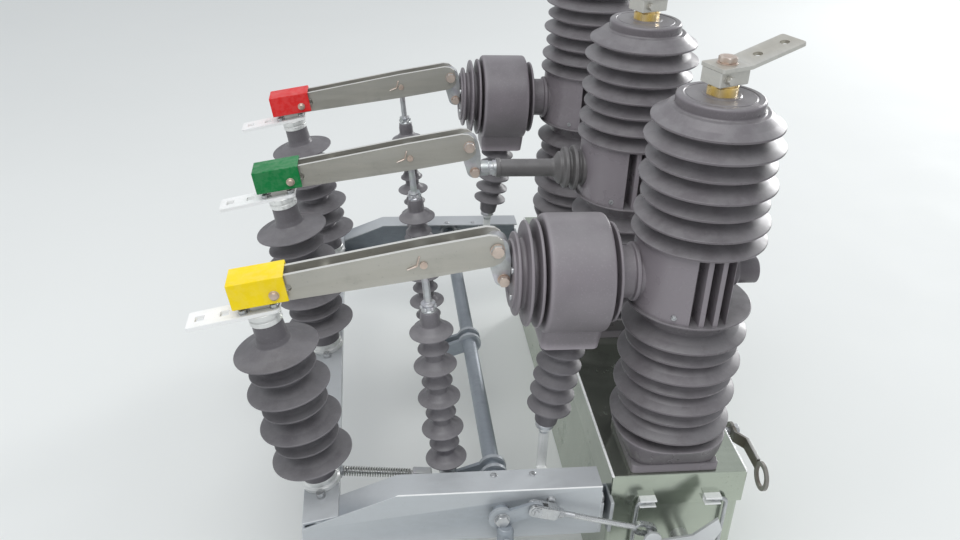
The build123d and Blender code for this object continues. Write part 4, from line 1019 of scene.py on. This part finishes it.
class MakeDriveInsulators(bpy.types.Operator):
    """Drive insulators between the shaft's cranks and the blades"""

    bl_idname = "breaker.drive_insulators"
    bl_label = "Drive insulators"

    def execute(self, context):
        slope = radians(BLADE_SLOPE)
        pin = HINGE - DRIVE_PIN_REACH * Vector((cos(slope), 0, sin(slope)))
        pin += DRIVE_PIN_DROP * Vector((sin(slope), 0, -cos(slope)))
        reach = (pin - CRANK_PIN).length
        lean = degrees(atan2(CRANK_PIN.x - pin.x, pin.z - CRANK_PIN.z))
        base = leaning(CRANK_PIN.x, 0, CRANK_PIN.z, lean)
        outline = [(0, 30), (12.5, 30, 1), (13, 44, 1)]
        outline += sheds(13, 52, 26.5, [29 if i % 2 == 0 else 21 for i in range(9)], 13, 1.6, 0.75, 0.3)
        outline += [(13, 288, 3), (11.6, 297, 1), (0, 297)]
        shape = bmesh.new()
        turned(shape, outline, base, 48, 4)
        keep_on_phases("drive_rubber", shape, "drive silicone", "drive_insulator", body="drive_*")
        shape = bmesh.new()
        face = facing_near(CRANK_PIN.x, 6, CRANK_PIN.z, lean)
        sheet(shape, [circle(11, 0, 0, 32), circle(5.05, 0, 0, 28)], face, 0, 12, 0.7)
        turned(shape, [(0, 8.5), (7.5, 8.5, 1), (7.5, 19, 1), (12, 23, 1), (12, 31, 1), (13.4, 32, 1),
            (13.4, 41, 1), (12.6, 43, 1), (0, 43)], base, 36)
        top_face = facing_near(pin.x, 6, pin.z, lean)
        sheet(shape, [circle(13.5, 0, 0, 36), circle(8.4, 0, 0, 32)], top_face, 0, 12, 0.7)
        neck = reach - 12.3
        turned(shape, [(0, 295), (10, 295), (10, 299, 0.8), (8.6, 300.5, 1), (8.6, 306, 1), (9.6, 307, 0.6),
            (9.6, 309, 0.8), (5, 310.5, 1), (4.8, neck, 1), (0, neck)], base, 36)
        for angle in range(0, 360, 60):
            dent = moved(base, 8.8 * cos(radians(angle)), 8.8 * sin(radians(angle)), 303)
            turned(shape, [(0, -2.6), (2.4, -2.6, 1.2), (2.4, 2.6, 1.2), (0, 2.6)], dent, 12)
        keep_on_phases("drive_fittings", shape, "ferrule", body="drive_*")
        return {"FINISHED"}


class MakeBeams(bpy.types.Operator):
    """Side beams, the cross member and the brackets on the box"""

    bl_idname = "breaker.beams"
    bl_label = "Beams"

    def execute(self, context):
        fold = context.scene.breaker_metal.fold / MM
        for name, outward in (("near", -1), ("far", 1)):
            keep("beam_channel_" + name, eased("side_beam_" + name, fold), "beam", "side_beam_" + name)
            keep("end_bracket_" + name, eased("beam_bracket_" + name, fold), "bracket", "beam_bracket_" + name)
            bolts = bmesh.new()
            for x in (-252, -198):
                spot = upright(x, outward * 390, BEAM_TOP)
                turned(bolts, [(0, 0), (5, 0, 0.4), (4.6, 1.2, 0.8), (2.5, 1.9, 1.2), (0, 2)], spot, 24)
            for z in (160, 182):
                spot = across_row(-100.8, outward * 394, z, 1)
                bolt(bolts, spot, 11, 4)
            keep("beam_bolts_" + name, bolts, "zinc")
            seam = bmesh.new()
            corner = outward * (BEAM_FACE - 0.8)
            path = [(-105.6, corner, 150 + 6 * i) for i in range(12)]
            for a, b in zip(path, path[1:]):
                rod(seam, [a, tuple((Vector(a) + Vector(b)) / 2 + Vector((0.5, 0, 0))), b], 1.1, 8, 0.5)
            keep("weld_bead_" + name, seam, "beam")
        keep("cross_channel", eased("cross_member", fold), "beam", "cross_member")
        return {"FINISHED"}


class MakeShaft(bpy.types.Operator):
    """Disconnector shaft with its cranks, bearings, end socket and link rod"""

    bl_idname = "breaker.shaft"
    bl_label = "Shaft and link rod"

    def execute(self, context):
        keep("crank_shaft", eased("isolator_shaft", 0.7), "beam", "isolator_shaft", body="shaft")
        keep("bearing_rings", eased("shaft_bearings", 0.8), "ferrule", "shaft_bearings")
        shape = bmesh.new()
        for y in PHASES.values():
            for side in (-1, 1):
                out = along_row(CRANK_PIN.x, y + side * 12.5, CRANK_PIN.z, side)
                washer(shape, out, 8, 0.05, 1.3)
                round_head(shape, out, 5, 1.2, 4.2, 1)
        end = along_row(SHAFT.x, -438.5, SHAFT.z, -1)
        washer(shape, end, 11, 0, 1.6)
        hexagon(shape, end, 17, 1.6, 6.4)
        keep("shaft_fasteners", shape, "zinc", body="shaft")
        shape = bmesh.new()
        tube = place((SHAFT.x + 4, -444, SHAFT.z - 8), (1, 0, 0), (0.06, 0, -1))
        turned(shape, [(0, 0), (9, 0, 2), (11.5, 5, 1.5), (11.5, 46, 0.8), (8.6, 46, 0.6), (8.6, 38), (0, 38)],
            tube, 32)
        bolt(shape, along_row(SHAFT.x + 5, -455.4, SHAFT.z - 24, -1), 9, 4)
        lug = facing_near(SHAFT.x + 3, -433.6, SHAFT.z - 2, -90)
        sheet(shape, [rounded([(-10, -9, 5), (24, -8, 4), (24, 8, 4), (-10, 9, 5)], 4, True)], lug, 0, 4, 0.6)
        keep("handle_socket", shape, "beam", body="shaft")

        angle = radians(LEVER_PIN_ANGLE)
        lever_pin = LEVER_PIVOT + LEVER_PIN_RADIUS * Vector((cos(angle), 0, sin(angle)))
        reach = lever_pin - LINK_PIN
        reach.y = 0
        along = reach.normalized()
        flat = place(LINK_PIN, along, (0, -1, 0))
        line = place(LINK_PIN, (0, 1, 0), along)
        shape = bmesh.new()
        cheek = rounded([(-11, -9, 8), (18, -9), (18, 9), (-11, 9, 8)], 5, True)
        for low in (-8, 3):
            sheet(shape, [cheek], flat, low, low + 5, 0.7)
        lofted(shape, [(14.8, 7.9, 8.9, 1.2), (29, 8, 9, 1.2), (32, 7, 8, 2.5), (33, 6, 7, 3)], line, 4)
        end = reach.length - 7.2
        rod(shape, [line @ Vector((0, 0, 30)), line @ Vector((0, 0, end - 15))], 4, 20)
        sheet(shape, [slot_outline(14.4, 10.4, end, 12), slot_outline(14.4, 5.4, end, 12)], flat, -4, 4, 0.9)
        keep("link_bar", shape, "steel", "link_rod", body="link")
        shape = bmesh.new()
        hexagon(shape, line, 13, 33, 39.5)
        thread(shape, line, 4.5, 39, 57, 1.6)
        for side in (-1, 1):
            spot = along_row(LINK_PIN.x, LINK_PIN.y + side * 8, LINK_PIN.z, side)
            washer(shape, spot, 7.6, 0, 1.3)
            round_head(shape, spot, 4, 1.2, 4, 0.9, 20)
        keep("link_fasteners", shape, "zinc", body="link")
        return {"FINISHED"}


class MakeSpring(bpy.types.Operator):
    """Spring buffer: seat, wound coil on its rod and the end block"""

    bl_idname = "breaker.spring"
    bl_label = "Spring buffer"

    def execute(self, context):
        seat_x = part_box("spring_buffer")[0].x * 1000
        y, height = -310.0, 178.0
        start = Vector((seat_x + 2.5, y, height))
        dip = radians(6)
        along = Vector((cos(dip), 0, -sin(dip)))
        where = place(start, (0, 1, 0), along)
        shape = bmesh.new()
        steps, turns, rise = 14, 27, 99.0
        path = []
        for step in range(turns * steps + 1):
            angle = 2 * pi * step / steps
            along_rod = 2.2 + rise * step / (turns * steps)
            path.append(where @ Vector((6.4 * cos(angle), 6.4 * sin(angle), along_rod)))
        rod(shape, path, 1.05, 8, 0.3)
        keep("spring_coil", shape, "spring", "spring_buffer")
        shape = bmesh.new()
        rod(shape, [where @ Vector((0, 0, 0)), where @ Vector((0, 0, 108))], 3, 14)
        seat = across_row(seat_x, y, height, 1)
        turned(shape, [(0, 0), (10, 0, 0.5), (10, 3, 0.8), (7.4, 3.4, 0.6), (7.2, 5, 0.6), (0, 5)], seat, 36, 2)
        end = moved(where, 0, 0, 104)
        lofted(shape, [(-1.5, 6.2, 6.2, 2), (0, 7.5, 7.5, 2), (24.6, 7.5, 7.5, 2), (26, 6.4, 6.4, 2)], end, 4)
        keep("spring_fittings", shape, "ferrule")
        return {"FINISHED"}


class MakeBox(bpy.types.Operator):
    """Mechanism box and its lid"""

    bl_idname = "breaker.box"
    bl_label = "Mechanism box"

    def execute(self, context):
        keep("box_body", eased("mechanism_box", 1.6, 30, 3), "box", "mechanism_box")
        half = (BOX_RIGHT - BOX_LEFT) / 2
        shape = bmesh.new()
        rows = ((227.4, 2.5), (176, 2.5), (176, 0), (228.4, 0), (229.4, 0.3), (229.9, 0.9),
            (BOX_TOP, 1.6))
        middle = upright((BOX_LEFT + BOX_RIGHT) / 2, 0, 0)
        stacked(shape, [(z, oblong(half - inset, BOX_END - inset, 2.4, 5)) for z, inset in rows], middle)
        keep("box_cover", shape, "lid", "box_lid")
        return {"FINISHED"}


class MakeLevers(bpy.types.Operator):
    """Operating lever, ring lever and the bail handle"""

    bl_idname = "breaker.levers"
    bl_label = "Levers and handle"

    def execute(self, context):
        keep("operating_bar", eased("operating_lever", 0.8), "lever", "operating_lever", body="lever")
        shape = bmesh.new()
        spot = facing_near(LEVER_PIVOT.x, -403.6, LEVER_PIVOT.z)
        turned(shape, [(0, 0), (14, 0), (14, 47.4, 0.8), (8, 47.4), (8, 53.4), (13, 53.4, 0.5), (13, 54.6, 0.5),
            (0, 54.6)], spot, 40, 2)
        hexagon(shape, spot, 22.5, 54.6, 61.2, 1.2)
        keep("lever_post", shape, "zinc", "lever_stud")
        keep("ring_bar", eased("ring_lever", 0.9), "ring", "ring_lever", body="ring")
        shape = bmesh.new()
        spot = across_row(BOX_RIGHT, RING_PIVOT.y, RING_PIVOT.z, 1)
        turned(shape, [(0, 0), (6, 0), (6, 18.2), (9.6, 18.2, 0.4), (9.6, 19.4, 0.4), (0, 19.4)], spot, 32, 2)
        hexagon(shape, spot, 19, 19.4, 25)
        keep("ring_stud", shape, "zinc", "ring_lever_stud")
        shape = bmesh.new()
        bail = [(-29, BAIL_TOP), (-50, BAIL_TOP), (-50, 80), (79, 80), (79, BAIL_TOP), (58, BAIL_TOP)]
        rod(shape, eased_path([(x, BAIL_Y, z) for x, z in bail], 8, 7), 3, 18)
        keep("handle_wire", shape, "steel", "bail_handle")
        shape = bmesh.new()
        clip = [(404, 180.7), (418.6, 180.7, 1.2), (418.6, 183, 0.8), (407, 183), (407, 190.4),
            (418.6, 190.4, 0.8), (418.6, 193.2, 1.2), (404, 193.2)]
        profile = place((0, 0, 0), (0, -1, 0), (-1, 0, 0))
        for x in (-36, 58):
            sheet(shape, [rounded(clip, 2, True)], profile, -x - 11.8, -x + 11.8, 0.3)
        keep("handle_clips", shape, "strip", "bail_brackets")
        return {"FINISHED"}


class MakeStage(bpy.types.Operator):
    """Floor, lights and camera"""

    bl_idname = "breaker.stage"
    bl_label = "Floor, light and camera"

    def execute(self, context):
        scene = context.scene
        settings = scene.breaker_stage
        mesh = bpy.data.meshes.new("workshop_floor")
        points = [(40 * cos(2 * pi * i / 64), 40 * sin(2 * pi * i / 64), -0.0003) for i in range(64)]
        mesh.from_pydata(points, [], [list(range(64))])
        mesh.materials.append(floor_finish(tuple(settings.floor)))
        floor = bpy.data.objects.new("workshop_floor", mesh)
        scene.collection.objects.link(floor)

        def lamp(name, power, size, spot, target, spread=180):
            light = bpy.data.lights.new(name, "AREA")
            light.energy = power
            light.shape = "RECTANGLE"
            light.size, light.size_y = size
            light.spread = radians(spread)
            holder = bpy.data.objects.new(name, light)
            holder.location = spot
            holder.rotation_mode = "QUATERNION"
            holder.rotation_quaternion = (Vector(target) - Vector(spot)).to_track_quat("-Z", "Y")
            holder.visible_camera = False
            scene.collection.objects.link(holder)

        lamp("ceiling_light", settings.lamp, (2.4, 2.0), (-0.8, -1.2, 2.9), (0, 0, 0.3))
        lamp("window_light", settings.window, (1.5, 1.7), (4.1, 4.05, 1.95), (0, 0, 0.5), 110)

        world = bpy.data.worlds.new("studio")
        scene.world = world
        world.use_nodes = True
        tree = world.node_tree
        tree.nodes.clear()
        output = tree.nodes.new("ShaderNodeOutputWorld")
        glow = tree.nodes.new("ShaderNodeBackground")
        seen = tree.nodes.new("ShaderNodeBackground")
        mixer = tree.nodes.new("ShaderNodeMixShader")
        path = tree.nodes.new("ShaderNodeLightPath")
        glow.inputs["Color"].default_value = (0.93, 0.96, 1.0, 1)
        glow.inputs["Strength"].default_value = 0.68
        seen.inputs["Color"].default_value = (0.9, 0.91, 0.91, 1)
        seen.inputs["Strength"].default_value = 1.0
        tree.links.new(path.outputs["Is Camera Ray"], mixer.inputs[0])
        tree.links.new(glow.outputs[0], mixer.inputs[1])
        tree.links.new(seen.outputs[0], mixer.inputs[2])
        tree.links.new(mixer.outputs[0], output.inputs[0])

        yaw, pitch, roll = -0.135891, 0.507069, 0.0482039
        ahead = Vector((-sin(yaw) * cos(pitch), cos(yaw) * cos(pitch), -sin(pitch)))
        level = Vector((cos(yaw), sin(yaw), 0))
        above = level.cross(ahead)
        right = level * cos(roll) + above * sin(roll)
        up = above * cos(roll) - level * sin(roll)
        camera = bpy.data.cameras.new("photo_view")
        camera.lens, camera.sensor_width = 35.93, 36
        camera.clip_start, camera.clip_end = 0.05, 100
        holder = bpy.data.objects.new("photo_view", camera)
        matrix = Matrix((right, up, -ahead)).transposed().to_4x4()
        matrix.translation = Vector((-0.42106, -1.38804, 1.10991))
        holder.matrix_world = matrix
        scene.collection.objects.link(holder)
        scene.camera = holder
        scene.view_settings.view_transform = "Standard"
        return {"FINISHED"}


MAKERS = (MakeBox, MakeBeams, MakePoleColumns, MakeTopTerminals, MakeTransformers, MakeSupportInsulators,
    MakePostInsulators, MakeBlades, MakeDriveInsulators, MakeShaft, MakeSpring, MakeLevers, MakeStage)


class BreakerPanel(bpy.types.Panel):
    """Lists the settings and the pieces"""

    bl_idname = "VIEW3D_PT_breaker"
    bl_label = "Circuit breaker"
    bl_space_type = "VIEW_3D"
    bl_region_type = "UI"
    bl_category = "Breaker"

    def draw(self, context):
        for name, group in GROUPS.items():
            box = self.layout.box()
            for key in group.__annotations__:
                box.prop(getattr(context.scene, name), key)
        for maker in MAKERS:
            self.layout.operator(maker.bl_idname)


GROUPS = {"breaker_casting": BreakerCasting, "breaker_metal": BreakerMetal, "breaker_phases": BreakerPhases,
    "breaker_stage": BreakerStage}
CLASSES = (*GROUPS.values(), *MAKERS, BreakerPanel)


def register():
    for item in CLASSES:
        bpy.utils.register_class(item)
    for name, group in GROUPS.items():
        setattr(bpy.types.Scene, name, PointerProperty(type=group))


def unregister():
    for name in GROUPS:
        delattr(bpy.types.Scene, name)
    for item in reversed(CLASSES):
        bpy.utils.unregister_class(item)


def main():
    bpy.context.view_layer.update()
    register()
    bpy.ops.breaker.box()
    bpy.ops.breaker.beams()
    bpy.ops.breaker.pole_columns()
    bpy.ops.breaker.top_terminals()
    bpy.ops.breaker.transformers()
    bpy.ops.breaker.support_insulators()
    bpy.ops.breaker.post_insulators()
    bpy.ops.breaker.blades()
    bpy.ops.breaker.drive_insulators()
    bpy.ops.breaker.shaft()
    bpy.ops.breaker.spring()
    bpy.ops.breaker.levers()
    bpy.ops.breaker.stage()


if __name__ == "__main__":
    main()
